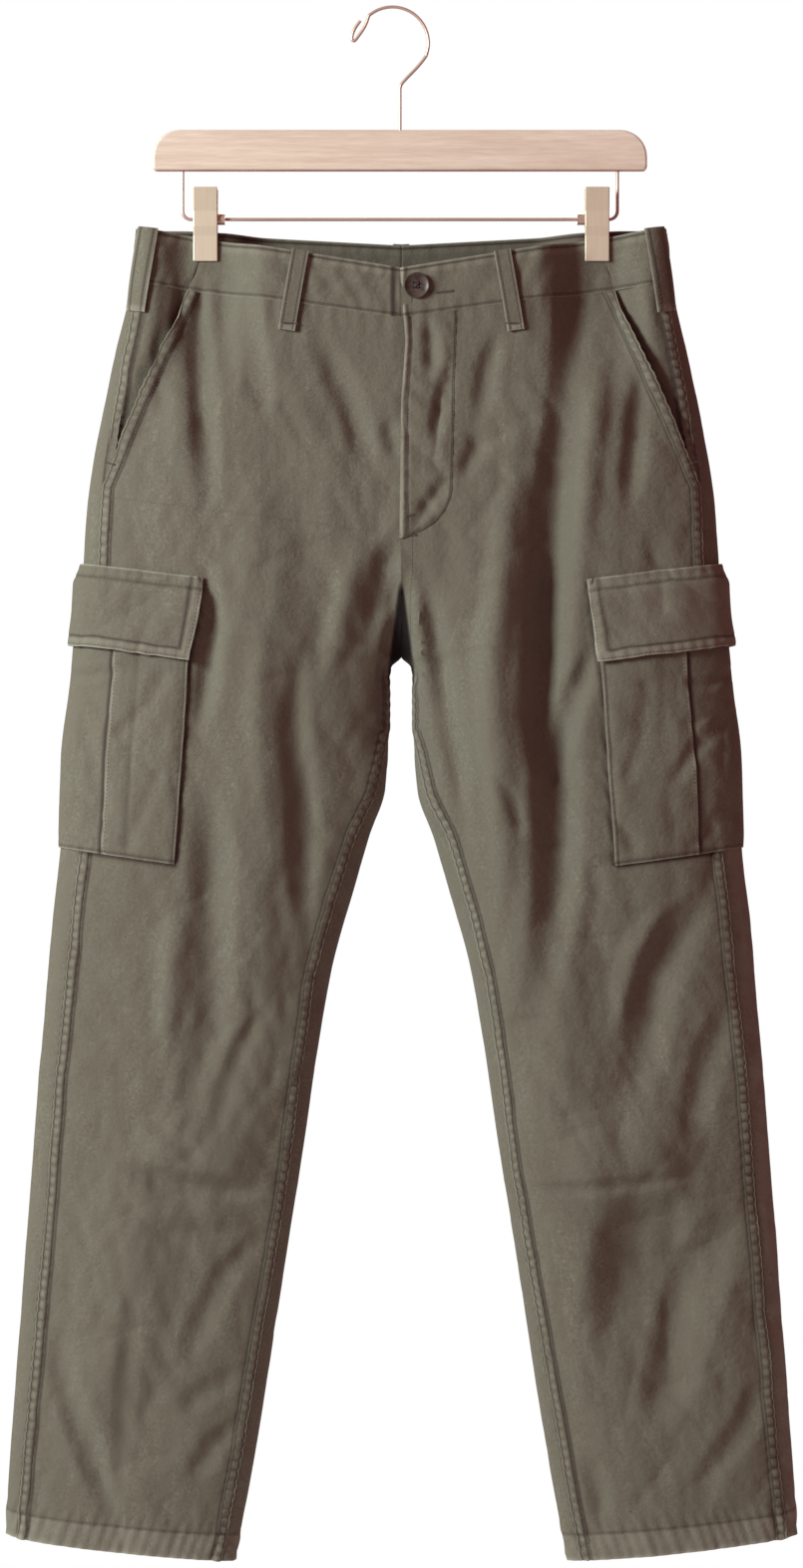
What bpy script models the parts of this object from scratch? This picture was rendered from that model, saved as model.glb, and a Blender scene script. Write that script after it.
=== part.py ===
"""Cargo pants hanging by the waistband from a two-clip hanger.

Model frame: metres, +Z up, the front of the pants faces -Y, and the origin is the inner top
of the hanger's hook, where a rail carries it.  Tables and sizes are in millimetres.
"Right" and "left" are the wearer's, so the right half lies at -X.

Each half of the cloth is one smooth surface.  A point on it has two coordinates: `fall`, the
height of its row at the outer fold, and `turn`, the angle round the half.  turn 0 is the
centre front or inner fold, pi the outer fold and 2 pi the centre back or inner fold again.
"""
import math
from collections import namedtuple

import bmesh
import bpy
import numpy as np
from mathutils import Matrix, Vector

MM = 0.001
PI = math.pi
RIGHT, LEFT = -1, 1
SIDES = {"right": RIGHT, "left": LEFT}

# ---- driving dimensions -------------------------------------------------------------------
CENTRE_X = 7.0            # the garment hangs this far off the hook's centre line
PANEL = 1.6               # wall of a leg panel
BAND = 2.6                # wall of the waistband, two layers and interfacing
HEM = 2.8                 # wall of the turned-up hem
POCKET = 1.2              # wall of a cargo pocket
FLAP = 1.8                # wall of a pocket flap
FACING = 1.2              # wall of a slant pocket's facing
FLY = 1.2                 # wall of the fly placket
LOOP = 1.6                # wall of a belt loop
SEAM_GAP = 0.2            # each piece stops this far short of a seam
LAY_GAP = 0.5             # what lies on a panel clears it by this
SECTION_X, SECTION_Y = 2.3, 0.48      # exponents of a row's rounded, flattened outline
LEG_SAG, LEG_SAG_SPAN = 0.25, 700.0   # how far a leg's rows bow downward, full at the hem

CLIP_AT = 153.0           # half distance between the clips
PINCH_FLAT, PINCH_REACH = 12.0, 48.0  # half width held flat by a clip, and where it ends
PINCH_FULL_Z, PINCH_END_Z = -200.0, -330.0
PINCH_HALF = 1.5          # half distance between the two pinched waistband walls

# One row per level.  out: the outer fold's height; front, back: the same row's height at the
# centre or inner fold; wide, inner: half widths from the centre line; deep_*: half depths;
# shut_*: 0 flat across the centre, 1 closed round the leg; side, inseam: how far those seams
# lie inside the fold on the front; slant: the slant pocket's mouth; cargo_*: pocket edges.
Row = namedtuple("Row", "out front back wide inner deep_front deep_back shut_front shut_back "
                        "side inseam slant cargo_front cargo_back")
ROWS = (
    Row(-172, -205, -183, 206, 0, 24, 22, 0.00, 0.00, 10, 0, 152, 128, 150),
    Row(-215, -244, -223, 211, 0, 26, 26, 0.00, 0.00, 10, 0, 167, 130, 152),
    Row(-283, -314, -294, 226, 0, 28, 31, 0.00, 0.00, 12, 0, 196, 138, 158),
    Row(-360, -391, -375, 241, 0, 30, 36, 0.00, 0.00, 14, 0, 227, 145, 164),
    Row(-399, -431, -420, 246, 0, 31, 38, 0.03, 0.02, 16, 0, 240, 147, 168),
    Row(-436, -467, -462, 248, 0, 32, 38, 0.32, 0.14, 17, 0, 242, 150, 172),
    Row(-471, -506, -506, 250, 0, 33, 38, 1.00, 1.00, 18, 0, 244, 155, 176),
    Row(-481, -515, -515, 251, 8, 33, 38, 1.00, 1.00, 18, 0, 245, 157, 178),
    Row(-499, -532, -532, 253, 10, 34, 38, 1.00, 1.00, 18, 1, 247, 160, 180),
    Row(-532, -564, -564, 256, 10, 35, 38, 1.00, 1.00, 19, 4, 249, 162, 183),
    Row(-578, -610, -610, 262, 13, 35, 38, 1.00, 1.00, 20, 10, 253, 165, 187),
    Row(-617, -649, -649, 264, 26, 34, 37, 1.00, 1.00, 20, 14, 256, 168, 190),
    Row(-656, -687, -687, 266, 37, 33, 36, 1.00, 1.00, 20, 15, 260, 171, 194),
    Row(-719, -748, -748, 273, 54, 32, 34, 1.00, 1.00, 20, 15, 265, 177, 201),
    Row(-781, -809, -809, 278, 65, 30, 33, 1.00, 1.00, 19, 14, 270, 181, 207),
    Row(-851, -878, -878, 284, 75, 29, 32, 1.00, 1.00, 18, 13, 276, 186, 213),
    Row(-929, -954, -954, 290, 87, 27, 30, 1.00, 1.00, 18, 12, 283, 194, 220),
    Row(-1007, -1031, -1031, 296, 99, 26, 29, 1.00, 1.00, 17, 13, 289, 203, 227),
    Row(-1085, -1108, -1108, 302, 111, 25, 28, 1.00, 1.00, 16, 14, 296, 211, 234),
    Row(-1172, -1192, -1192, 308, 126, 23, 26, 1.00, 1.00, 14, 14, 302, 221, 242),
    Row(-1192, -1213, -1213, 309, 130, 23, 26, 1.00, 1.00, 13, 14, 303, 224, 245),
)
BAND_TOP, BAND_SEAM, MOUTH_END, FLAP_TOP, CROTCH = -172, -215, -360, -436, -471
FLAP_END, CARGO_END, HEM_FOLD, HEM_END = -499, -656, -1172, -1192
ROW_STEPS = (0, 2, 3, 1, 1, 2, 1, 1, 1, 1, 1, 1, 2, 2, 2, 2, 2, 2, 2, 1)

# The largest folds.  Each is a soft trough (depth below 0) or ridge along a route of
# (distance from the centre line, height) points; start and end are its strength there.
Fold = namedtuple("Fold", "side face half_width depth start end route")
FOLDS = (
    Fold(RIGHT, "front", 24, -6, 0.6, 0.0, ((160, -250), (156, -300), (155, -400))),
    Fold(RIGHT, "front", 24, -6, 0.0, 0.0, ((88, -500), (92, -560), (86, -640), (82, -720))),
    Fold(RIGHT, "front", 26, -8, 0.0, 0.2, ((158, -600), (160, -720), (156, -800), (176, -850))),
    Fold(RIGHT, "front", 24, -5, 0.0, 0.0, ((214, -905), (180, -916), (108, -922))),
    Fold(RIGHT, "front", 24, -5, 0.0, 0.0, ((276, -1030), (250, -1125), (232, -1168))),
    Fold(RIGHT, "front", 22, -4, 0.0, 0.0, ((112, -955), (144, -990), (166, -1040))),
    Fold(LEFT, "front", 26, -9, 0.6, 1.0, ((134, -240), (120, -320), (108, -440), (98, -560))),
    Fold(LEFT, "front", 27, -11, 1.0, 0.2, ((98, -560), (112, -640), (106, -730), (90, -808))),
    Fold(LEFT, "front", 24, -5, 0.0, 0.0, ((178, -300), (170, -400))),
    Fold(LEFT, "front", 22, -5, 0.0, 0.0, ((232, -690), (192, -760), (176, -860))),
    Fold(LEFT, "front", 24, -5, 0.0, 0.0, ((100, -925), (150, -920), (240, -908))),
    Fold(LEFT, "front", 24, -6, 0.0, 0.0, ((232, -932), (196, -1020), (164, -1110))),
    Fold(RIGHT, "back", 26, -7, 0.6, 0.0, ((150, -250), (140, -340), (120, -420))),
    Fold(RIGHT, "back", 26, -7, 0.0, 0.0, ((60, -520), (90, -600), (110, -720))),
    Fold(RIGHT, "back", 26, -6, 0.0, 0.0, ((110, -880), (170, -900), (250, -885))),
    Fold(RIGHT, "back", 24, -5, 0.0, 0.0, ((250, -960), (220, -1050), (200, -1130))),
    Fold(LEFT, "back", 26, -7, 0.6, 0.0, ((152, -250), (146, -330), (128, -430))),
    Fold(LEFT, "back", 26, -8, 0.0, 0.0, ((50, -515), (84, -590), (120, -700))),
    Fold(LEFT, "back", 26, -6, 0.0, 0.0, ((100, -890), (160, -915), (245, -890))),
    Fold(LEFT, "back", 24, -5, 0.0, 0.0, ((240, -950), (206, -1040), (190, -1120))),
)

# Columns of a panel, as shares of the stretch between its guide lines.
FRONT_INNER = (0.0, 0.34, 0.5, 0.66, 0.83, 1.0)     # centre front to the cargo pocket's edge
FRONT_OUTER = (0.25, 0.5, 0.75, 1.0)                  # on to the side seam
BACK_OUTER = (0.0, 0.25, 0.5, 0.75, 1.0)              # side seam to the pocket's back edge
BACK_INNER = (0.17, 0.34, 0.51, 0.67, 0.84, 1.0)      # on to the centre back or inseam
FLY_COLUMNS = 3
PLEAT_COLUMN = 3          # of FRONT_OUTER counted from the pocket's front edge
PLEAT_STEP = 0.1          # share of a column over which the pleat's edge drops
POCKET_STAND = (0, 1.1, 1.5, 1.6, 0.1, 0.1, 0.1, 0.8, 1.2, 0.0)   # pocket off the panel, by column
LOOP_ARCH = (0.0, 0.6, 1.0, 1.0, 0.6, 0.0)                        # belt loop off the band, by row
FLY_FOOT = (24.0, 20.0, 3.0)      # drop of the placket's rounded foot below its last row
CARGO_SHIFT = 5.0         # the left pocket sits this much nearer the centre, the right further

# Waistband columns: distance from the centre line at the band's top and at its seam.
FRONT_BAND = ((0, 0), (38, 40), (72, 79), (85, 92), (114, 118), (141, 143), (152, 167))
SIDE_BAND = ((152, 167), (165, 169), (178, 184), (190, 196), (196.5, 203), (203, 209))
BACK_BAND = ((192, 197), (165, 168), (141, 143), (110, 112), (72, 72), (36, 36), (6.5, 6.5),
             (0, 0))
BAND_ROWS = (-172, -182, -193, -204, -215)
LOOP_END = -236           # the belt loops end this far down, below the band's seam
SIDE_LOOP, FRONT_LOOP = slice(3, 6), slice(2, 4)

# ---- hanger -------------------------------------------------------------------------------
BAR_X = (-187.0, 199.0)
BAR_Z = (-127.0, -95.5)
BAR_THICK = 12.0
BAR_SHOULDER = 21.0       # radius of the bar's upper corners
HOOK_WIRE = 1.25          # radius
HOOK_INSIDE = 27.0        # inner radius of the hook's bow
HOOK_STEM_X = 6.0
FRAME_WIRE = 1.3          # radius
FRAME_X = (-164.0, 176.0)
FRAME_Z = -165.0
FRAME_BEND = 6.5
CLIP_WIDTH = 19.0
CLIP_WALL = 2.0
CLIP_TOP, CLIP_BOTTOM = -140.5, -198.0
CLIP_BORE, CLIP_SPREAD = 4.6, 9.0      # jaw's inner face from the wire, and at its grip end
SPRING_RADIUS = 4.3
SPRING_LENGTH = 24.0
SPRING_INWARD = 3.5       # the spring reaches past its clip on the inner side
HOOK_NECK = ((6.0, -62.5), (8.0, -58.0), (19.0, -46.5), (24.0, -40.5))
HOOK_BOW = (-21, 128)                  # the bow's first and last angle, degrees
HOOK_TIP = ((-18.2, -5.4), (-21.5, -14.0), (-26.5, -21.5), (-30.0, -25.5), (-31.6, -22.5),
            (-29.5, -16.0), (-25.0, -9.5))
CLIP_GRIP, CLIP_WAIST = -178.0, (-171.0, -159.0)    # top of the flat jaw; the bore's straight
SEAT = 0.3                # clearance of a seated wire, jaw or spring
BUTTON_AT = (12.0, -225.0)             # distance from the centre line, height
BUTTON_SAG = 2.0          # drop of the band's own row from its outer fold to the button
BUTTON_PROFILE = ((0, 0), (8.6, 0), (10, 0.9), (10, 2.4), (9.2, 3.2), (7.8, 3.2), (7.2, 2.3),
                  (0, 2.2))            # radius, height
THREAD_HOLE_OUT, THREAD_HOLE_RADIUS, THREAD_HOLE_CUT = 1.7, 0.7, 12.0

# ---- colours: red, green, blue, roughness, metallic ----------------------------------------
TWILL = (0.16, 0.135, 0.098, 0.9, 0.0)
TWILL_SHADE = (0.13, 0.108, 0.078, 0.9, 0.0)
HORN = (0.07, 0.045, 0.036, 0.4, 0.0)
MAPLE = (0.68, 0.53, 0.42, 0.5, 0.0)
ROSE_METAL = (0.78, 0.6, 0.48, 0.25, 1.0)
SATIN_METAL = (0.66, 0.56, 0.42, 0.35, 1.0)


# ---- the cloth's form ---------------------------------------------------------------------
FALLS = np.array([row.out for row in ROWS], float)[::-1]


def slopes(values):
    """Slopes at the rows that keep a column's curve from overshooting its own values."""
    steps, rises = np.diff(FALLS), np.diff(values)
    rates = rises / steps
    inner = np.where(rates[1:] * rates[:-1] > 0,
                     2 * rates[1:] * rates[:-1] / np.where(rates[1:] + rates[:-1] == 0, 1,
                                                           rates[1:] + rates[:-1]), 0)
    return np.concatenate(([rates[0]], inner, [rates[-1]]))


COLUMNS = {name: np.array([getattr(row, name) for row in ROWS], float)[::-1]
           for name in Row._fields if name != "out"}
SLOPES = {name: slopes(values) for name, values in COLUMNS.items()}


def measure(name, fall):
    """A column of ROWS, read smoothly at any fall."""
    fall = np.asarray(fall, float)
    values, rates = COLUMNS[name], SLOPES[name]
    i = np.clip(np.searchsorted(FALLS, fall) - 1, 0, len(FALLS) - 2)
    step = FALLS[i + 1] - FALLS[i]
    s = (fall - FALLS[i]) / step
    return (values[i] * (1 + 2 * s) * (1 - s) ** 2 + rates[i] * step * s * (1 - s) ** 2
            + values[i + 1] * s * s * (3 - 2 * s) + rates[i + 1] * step * s * s * (s - 1))


def smooth(x):
    x = np.clip(x, 0, 1)
    return x * x * (3 - 2 * x)


def turn_at(x, fall, back=False):
    """The turn at which a row passes x millimetres from the centre line."""
    wide, inner = measure("wide", fall), measure("inner", fall)
    turn = np.arccos(np.clip(1 - 2 * (x - inner) / (wide - inner), -1, 1))
    return 2 * PI - turn if back else turn


def plain_form(fall, turn):
    """The cloth without folds: distance from the centre line, depth, height."""
    wide, inner = measure("wide", fall), measure("inner", fall)
    share = (1 - np.cos(turn)) / 2
    front = np.where(fall < CROTCH, np.mod(turn, 2 * PI), turn) < PI
    x = inner + (wide - inner) * share
    shut = np.where(front, measure("shut_front", fall), measure("shut_back", fall))
    shut = np.where(share > 0.5, 1, shut)
    round_off = (1 - np.minimum(shut * np.abs(2 * share - 1) ** SECTION_X, 1)) ** SECTION_Y
    y = np.where(front, -measure("deep_front", fall), measure("deep_back", fall)) * round_off
    low = np.where(front, measure("front", fall), measure("back", fall))
    z = fall + (low - fall) * (1 - share) ** (1 - LEG_SAG * smooth((CROTCH - fall) / LEG_SAG_SPAN))
    hold = (1 - smooth((np.abs(x - CLIP_AT) - PINCH_FLAT) / (PINCH_REACH - PINCH_FLAT))) \
        * (1 - smooth((PINCH_FULL_Z - z) / (PINCH_FULL_Z - PINCH_END_Z)))
    y = y * (1 - hold) + np.where(front, -PINCH_HALF, PINCH_HALF) * hold
    return np.stack([x, y, z], -1)


def fold_height(folds, side, face, x, z):
    """Sum of a face's folds at points (x, z): below 0 in a trough."""
    total = np.zeros_like(x)
    for fold in folds:
        if fold.side != side or fold.face != face:
            continue
        route = np.array(fold.route, float)
        spans = np.hypot(*np.diff(route, axis=0).T)
        near, along = np.full_like(x, 1e9), np.zeros_like(x)
        run = 0.0
        for (ax, az), (bx, bz), span in zip(route[:-1], route[1:], spans):
            s = np.clip(((x - ax) * (bx - ax) + (z - az) * (bz - az)) / span ** 2, 0, 1)
            away = np.hypot(x - ax - s * (bx - ax), z - az - s * (bz - az))
            closer = away < near
            near = np.where(closer, away, near)
            along = np.where(closer, (run + s * span) / spans.sum(), along)
            run += span
        strength = (fold.start + (1 - fold.start) * smooth(along * 3)) \
            * (fold.end + (1 - fold.end) * smooth((1 - along) * 3))
        reach = fold.half_width * (0.6 + 0.4 * strength)
        total += fold.depth * strength * np.clip(1 - (near / reach) ** 2, 0, 1) ** 2
    return total


def form(side, fall, turn):
    """The cloth's middle surface on one half, folds included, with x from the centre line."""
    fall, turn = np.broadcast_arrays(np.asarray(fall, float), np.asarray(turn, float))
    point = plain_form(fall, turn)
    step = 0.02
    whole = fall < CROTCH
    before = plain_form(fall, np.where(whole, turn - step, np.maximum(turn - step, 0)))
    after = plain_form(fall, np.where(whole, turn + step, np.minimum(turn + step, 2 * PI)))
    along = after - before
    facing = np.stack([-along[..., 1], along[..., 0]], -1)
    facing /= np.maximum(np.linalg.norm(facing, axis=-1, keepdims=True), 1e-9)
    facing = -facing
    for face, sign in (("front", -1), ("back", 1)):
        toward = np.clip(sign * facing[..., 1], 0, 1) ** 0.7
        rise = fold_height(FOLDS, side, face, point[..., 0], point[..., 2]) * toward
        point = point + np.concatenate([facing * rise[..., None], 0 * rise[..., None]], -1)
    return point


def surface(side, fall, turn):
    """Points and outward unit normals of one half at a grid of falls and turns."""
    fall, turn = np.broadcast_arrays(np.asarray(fall, float), np.asarray(turn, float))
    point = form(side, fall, turn)
    whole = fall < CROTCH
    back_step = np.where(whole, turn - 0.03, np.maximum(turn - 0.03, 0))
    fore_step = np.where(whole, turn + 0.03, np.minimum(turn + 0.03, 2 * PI))
    round_it = form(side, fall, fore_step) - form(side, fall, back_step)
    down_it = form(side, np.maximum(fall - 2, HEM_END), turn) \
        - form(side, np.minimum(fall + 2, BAND_TOP), turn)
    normal = np.cross(down_it, round_it)
    seam = (fall >= CROTCH) & ((turn <= 1e-6) | (turn >= 2 * PI - 1e-6))
    normal[..., 0] = np.where(seam, 0, normal[..., 0])
    crotch = seam & (fall <= CROTCH)
    normal = np.where(crotch[..., None], np.array([0, 0, -1.0]), normal)
    return point, normal / np.linalg.norm(normal, axis=-1, keepdims=True)


# ---- meshes -------------------------------------------------------------------------------
def material(name, look):
    made = bpy.data.materials.new(name)
    made.use_nodes = True
    shader = made.node_tree.nodes["Principled BSDF"]
    shader.inputs["Base Color"].default_value = (*look[:3], 1)
    shader.inputs["Roughness"].default_value = look[3]
    shader.inputs["Metallic"].default_value = look[4]
    made.diffuse_color = (*look[:3], 1)
    return made


def add_object(name, mesh, look):
    mesh.materials.append(material(name, look))
    made = bpy.data.objects.new(name, mesh)
    bpy.context.collection.objects.link(made)
    return made


def to_model(side, points):
    """From the half's own millimetres to the model's metres."""
    placed = np.array(points, float)
    placed[..., 0] = CENTRE_X + side * placed[..., 0]
    return placed * MM


def wall(name, outer, inner, look, mirrored):
    """A closed wall between two matching grids of points in metres."""
    rows, columns = outer.shape[:2]
    count = rows * columns
    points = np.concatenate([outer.reshape(-1, 3), inner.reshape(-1, 3)])
    at = np.arange(count).reshape(rows, columns)
    a, b, c, d = at[:-1, :-1].ravel(), at[:-1, 1:].ravel(), at[1:, 1:].ravel(), at[1:, :-1].ravel()
    skin = np.concatenate([np.stack([a, c, b], 1), np.stack([a, d, c], 1)])
    rim = np.concatenate([at[0, :], at[1:, -1], at[-1, -2::-1], at[-2:0:-1, 0]])
    ahead = np.roll(rim, -1)
    edge = np.concatenate([np.stack([rim, ahead, ahead + count], 1),
                           np.stack([rim, ahead + count, rim + count], 1)])
    faces = np.concatenate([skin, skin[:, ::-1] + count, edge])
    if mirrored:
        faces = faces[:, ::-1]
    mesh = bpy.data.meshes.new(name)
    mesh.from_pydata([tuple(p) for p in points.tolist()], [], [tuple(f) for f in faces.tolist()])
    mesh.update()
    return add_object(name, mesh, look)


def inset(grid, top=False, bottom=False, first=False, last=False):
    """Draw a grid's edges back from the seams they meet."""
    grid = grid.copy()
    for wanted, edge, inside in ((top, np.s_[0, :], np.s_[1, :]), (bottom, np.s_[-1, :], np.s_[-2, :]),
                                 (first, np.s_[:, 0], np.s_[:, 1]), (last, np.s_[:, -1], np.s_[:, -2])):
        if wanted:
            away = grid[inside] - grid[edge]
            span = np.linalg.norm(away, axis=-1, keepdims=True)
            grid[edge] = grid[edge] + away / np.maximum(span, 1e-6) * SEAM_GAP
    return grid


def cloth(name, side, falls, turns, low, high, look=TWILL, **edges):
    """A wall from `low` to `high` millimetres outward of the cloth's middle surface."""
    point, normal = surface(side, falls, turns)
    low, high = np.asarray(low, float), np.asarray(high, float)
    low, high = np.broadcast_to(low, point.shape[:2]), np.broadcast_to(high, point.shape[:2])
    inner = inset(point + normal * low[..., None], **edges)
    outer = inset(point + normal * high[..., None], **edges)
    for grid in (inner, outer):
        centre = (np.broadcast_to(falls, grid.shape[:2]) >= CROTCH) & \
            ((turns <= 1e-6) | (turns >= 2 * PI - 1e-6))
        grid[..., 0] = np.where(centre, SEAM_GAP, grid[..., 0])
    return wall(name, to_model(side, outer), to_model(side, inner), look, side == RIGHT)


def row_falls():
    falls = [float(ROWS[1].out)]
    for upper, lower, steps in zip(ROWS[1:-1], ROWS[2:], ROW_STEPS[1:]):
        falls += [upper.out + (lower.out - upper.out) * (k + 1) / steps for k in range(steps)]
    return np.array(falls)


def front_turns(side, falls):
    """Turns of the front panel's columns, out to the pocket's mouth or the side seam."""
    start = turn_at(measure("inner", falls) + measure("inseam", falls), falls)
    shift = -CARGO_SHIFT * side
    pocket = turn_at(measure("cargo_front", falls) + shift, falls)
    side_seam = measure("wide", falls) - measure("side", falls)
    end = turn_at(np.minimum(measure("slant", falls), side_seam), falls)
    columns = [start + (pocket - start) * share for share in FRONT_INNER]
    columns += [pocket + (end - pocket) * share for share in FRONT_OUTER]
    return np.stack(columns, 1)


def back_turns(falls):
    start = turn_at(measure("wide", falls) - measure("side", falls), falls)
    pocket = turn_at(measure("cargo_back", falls), falls, back=True)
    end = 2 * PI + turn_at(measure("inner", falls) + measure("inseam", falls), falls)
    columns = [start + (pocket - start) * share for share in BACK_OUTER]
    columns += [pocket + (end - pocket) * share for share in BACK_INNER]
    return np.stack(columns, 1)


def between(falls, top, bottom):
    return (falls <= top + 1e-6) & (falls >= bottom - 1e-6)


def add_panels():
    falls = row_falls()
    thick = np.where(falls <= HEM_FOLD + 1e-6, HEM, PANEL)[:, None]
    for name, side in SIDES.items():
        turns = front_turns(side, falls)
        cloth("front_" + name, side, falls[:, None], turns, -thick / 2, thick / 2,
              top=True, first=True, last=True)
        cloth("back_" + name, side, falls[:, None], back_turns(falls), -thick / 2, thick / 2,
              top=True, first=True, last=True)


def add_pocket_facings():
    falls = row_falls()
    falls = falls[between(falls, BAND_SEAM, MOUTH_END)][:-1]
    falls = np.append(falls, MOUTH_END + 12)
    mouth = turn_at(measure("slant", falls), falls)
    seam = turn_at(measure("wide", falls) - measure("side", falls), falls)
    share = np.linspace(0, 1, 4)[None, :]
    turns = mouth[:, None] + (seam - mouth)[:, None] * share
    sunk = -PANEL * (1 - share) * np.ones_like(turns)
    for name, side in SIDES.items():
        cloth("pocket_facing_" + name, side, falls[:, None], turns, sunk - FACING / 2,
              sunk + FACING / 2, TWILL_SHADE, top=True, first=True, last=True)


def band_turns(columns, falls, back=False):
    share = ((BAND_TOP - falls) / (BAND_TOP - BAND_SEAM))[:, None]
    pairs = np.array(columns, float)
    x = pairs[None, :, 0] * (1 - share) + pairs[None, :, 1] * share
    return turn_at(x, falls[:, None], back)


def add_waistband():
    falls = np.array(BAND_ROWS, float)
    fold = np.full((len(falls), 1), PI)
    around = np.concatenate([band_turns(SIDE_BAND, falls), fold,
                             band_turns(BACK_BAND, falls, back=True)], 1)
    for name, side in SIDES.items():
        cloth("waistband_front_" + name, side, falls[:, None], band_turns(FRONT_BAND, falls),
              -BAND / 2, BAND / 2, bottom=True, first=True, last=True)
        cloth("waistband_back_" + name, side, falls[:, None], around,
              -BAND / 2, BAND / 2, bottom=True, first=True, last=True)


def add_belt_loops():
    falls = np.append(np.array(BAND_ROWS, float), LOOP_END)
    under = BAND / 2 + LAY_GAP
    arch = np.array(LOOP_ARCH)[:, None]
    for name, side in SIDES.items():
        for place, columns in (("front", FRONT_BAND[FRONT_LOOP]), ("side", SIDE_BAND[SIDE_LOOP])):
            cloth("belt_loop_%s_%s" % (place, name), side, falls[:, None],
                  band_turns(columns, falls), under + arch, under + arch + LOOP)
    half = band_turns(BACK_BAND[-2:], falls, back=True)
    point, normal = surface(RIGHT, falls[:, None], half)
    strips = []
    for high in (under + arch + LOOP, under + arch):
        grid = point + normal * high[..., None]
        other = grid[:, ::-1].copy()
        other[..., 0] *= -1
        strips.append(to_model(RIGHT, np.concatenate([grid, other[:, 1:]], 1)))
    wall("belt_loop_back", strips[0], strips[1], TWILL, True)


def add_cargo_pockets():
    rows = row_falls()
    top = FLAP_TOP + (CROTCH - FLAP_TOP) / 2
    first_column = len(FRONT_INNER) - 1
    under = PANEL / 2 + LAY_GAP
    for name, side in SIDES.items():
        falls = rows[between(rows, top, CARGO_END)]
        front = front_turns(side, falls)[:, first_column:]
        back = back_turns(falls)[:, 1:len(BACK_OUTER)]
        pleat = front[:, PLEAT_COLUMN] + (front[:, PLEAT_COLUMN + 1] - front[:, PLEAT_COLUMN]) \
            * PLEAT_STEP
        turns = np.concatenate([front[:, :PLEAT_COLUMN + 1], pleat[:, None],
                                front[:, PLEAT_COLUMN + 1:], back], 1)
        stand = np.repeat(under + np.array(POCKET_STAND)[None, :], len(falls), 0)
        stand[-1] = under
        cloth("cargo_pocket_" + name, side, falls[:, None], turns, stand, stand + POCKET)
        falls = rows[between(rows, FLAP_TOP, FLAP_END)]
        turns = np.concatenate([front_turns(side, falls)[:, first_column:],
                                back_turns(falls)[:, 1:len(BACK_OUTER)]], 1)
        over = under + max(POCKET_STAND) + POCKET + LAY_GAP
        stand = np.where(falls > top + 1, under, over)[:, None]
        cloth("cargo_flap_" + name, side, falls[:, None], turns, stand, stand + FLAP, TWILL_SHADE)


def add_fly():
    """The placket on the left front, from the centre to the curved stitch line."""
    falls = row_falls()
    falls = falls[between(falls, BAND_SEAM, MOUTH_END)]
    turns = front_turns(LEFT, falls)[:, :FLY_COLUMNS]
    last = falls[-1] - np.array(FLY_FOOT)
    grid_falls = np.concatenate([np.repeat(falls[:-1, None], FLY_COLUMNS, 1), last[None, :]])
    under = PANEL / 2 + LAY_GAP
    cloth("fly_placket", LEFT, grid_falls, turns, under, under + FLY, top=True, first=True)


def add_button():
    """Four-hole waist button, dished inside its rim, flat against the waistband."""
    x, z = BUTTON_AT
    fall = z - measure("front", BAND_TOP) + BAND_TOP + BUTTON_SAG
    point, normal = surface(LEFT, np.array([[fall]]), turn_at(x, np.array([[fall]])))
    middle = Vector(to_model(LEFT, point[0, 0]))
    axis = Vector((LEFT * normal[0, 0, 0], normal[0, 0, 1], normal[0, 0, 2]))
    spin = Matrix.Translation(middle + axis * (BAND / 2 + LAY_GAP) * MM) \
        @ axis.to_track_quat("Z", "Y").to_matrix().to_4x4()
    mesh = bpy.data.meshes.new("waist_button")
    work = bmesh.new()
    chain = [work.verts.new((r * MM, 0, h * MM)) for r, h in BUTTON_PROFILE]
    lines = [work.edges.new(pair) for pair in zip(chain[:-1], chain[1:])]
    bmesh.ops.spin(work, geom=chain + lines, cent=(0, 0, 0), axis=(0, 0, 1), angle=2 * PI, steps=24,
                   use_duplicate=False)
    bmesh.ops.remove_doubles(work, verts=work.verts, dist=0.00001)
    bmesh.ops.recalc_face_normals(work, faces=work.faces)
    work.to_mesh(mesh)
    work.free()
    button = add_object("waist_button", mesh, HORN)
    mesh.transform(spin)
    for k in range(4):
        angle = PI / 4 + k * PI / 2
        reach = Vector((math.cos(angle), math.sin(angle), 0)) * THREAD_HOLE_OUT * MM
        bpy.ops.mesh.primitive_cylinder_add(vertices=10, radius=THREAD_HOLE_RADIUS * MM,
                                            depth=THREAD_HOLE_CUT * MM)
        hole = bpy.context.object
        hole.name = "button_hole_cutter_%d" % k
        hole.data.transform(spin @ Matrix.Translation(reach))
        hole.hide_render = True
        hole.display_type = "WIRE"
        cut = button.modifiers.new("thread hole", "BOOLEAN")
        cut.object = hole
        cut.operation = "DIFFERENCE"


# ---- the hanger ---------------------------------------------------------------------------
def arc(cx, cz, radius, first, last, steps):
    """Points on an arc in the XZ plane, angles in degrees."""
    return [(cx + radius * math.cos(math.radians(first + (last - first) * k / steps)),
             cz + radius * math.sin(math.radians(first + (last - first) * k / steps)))
            for k in range(steps + 1)]


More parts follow.
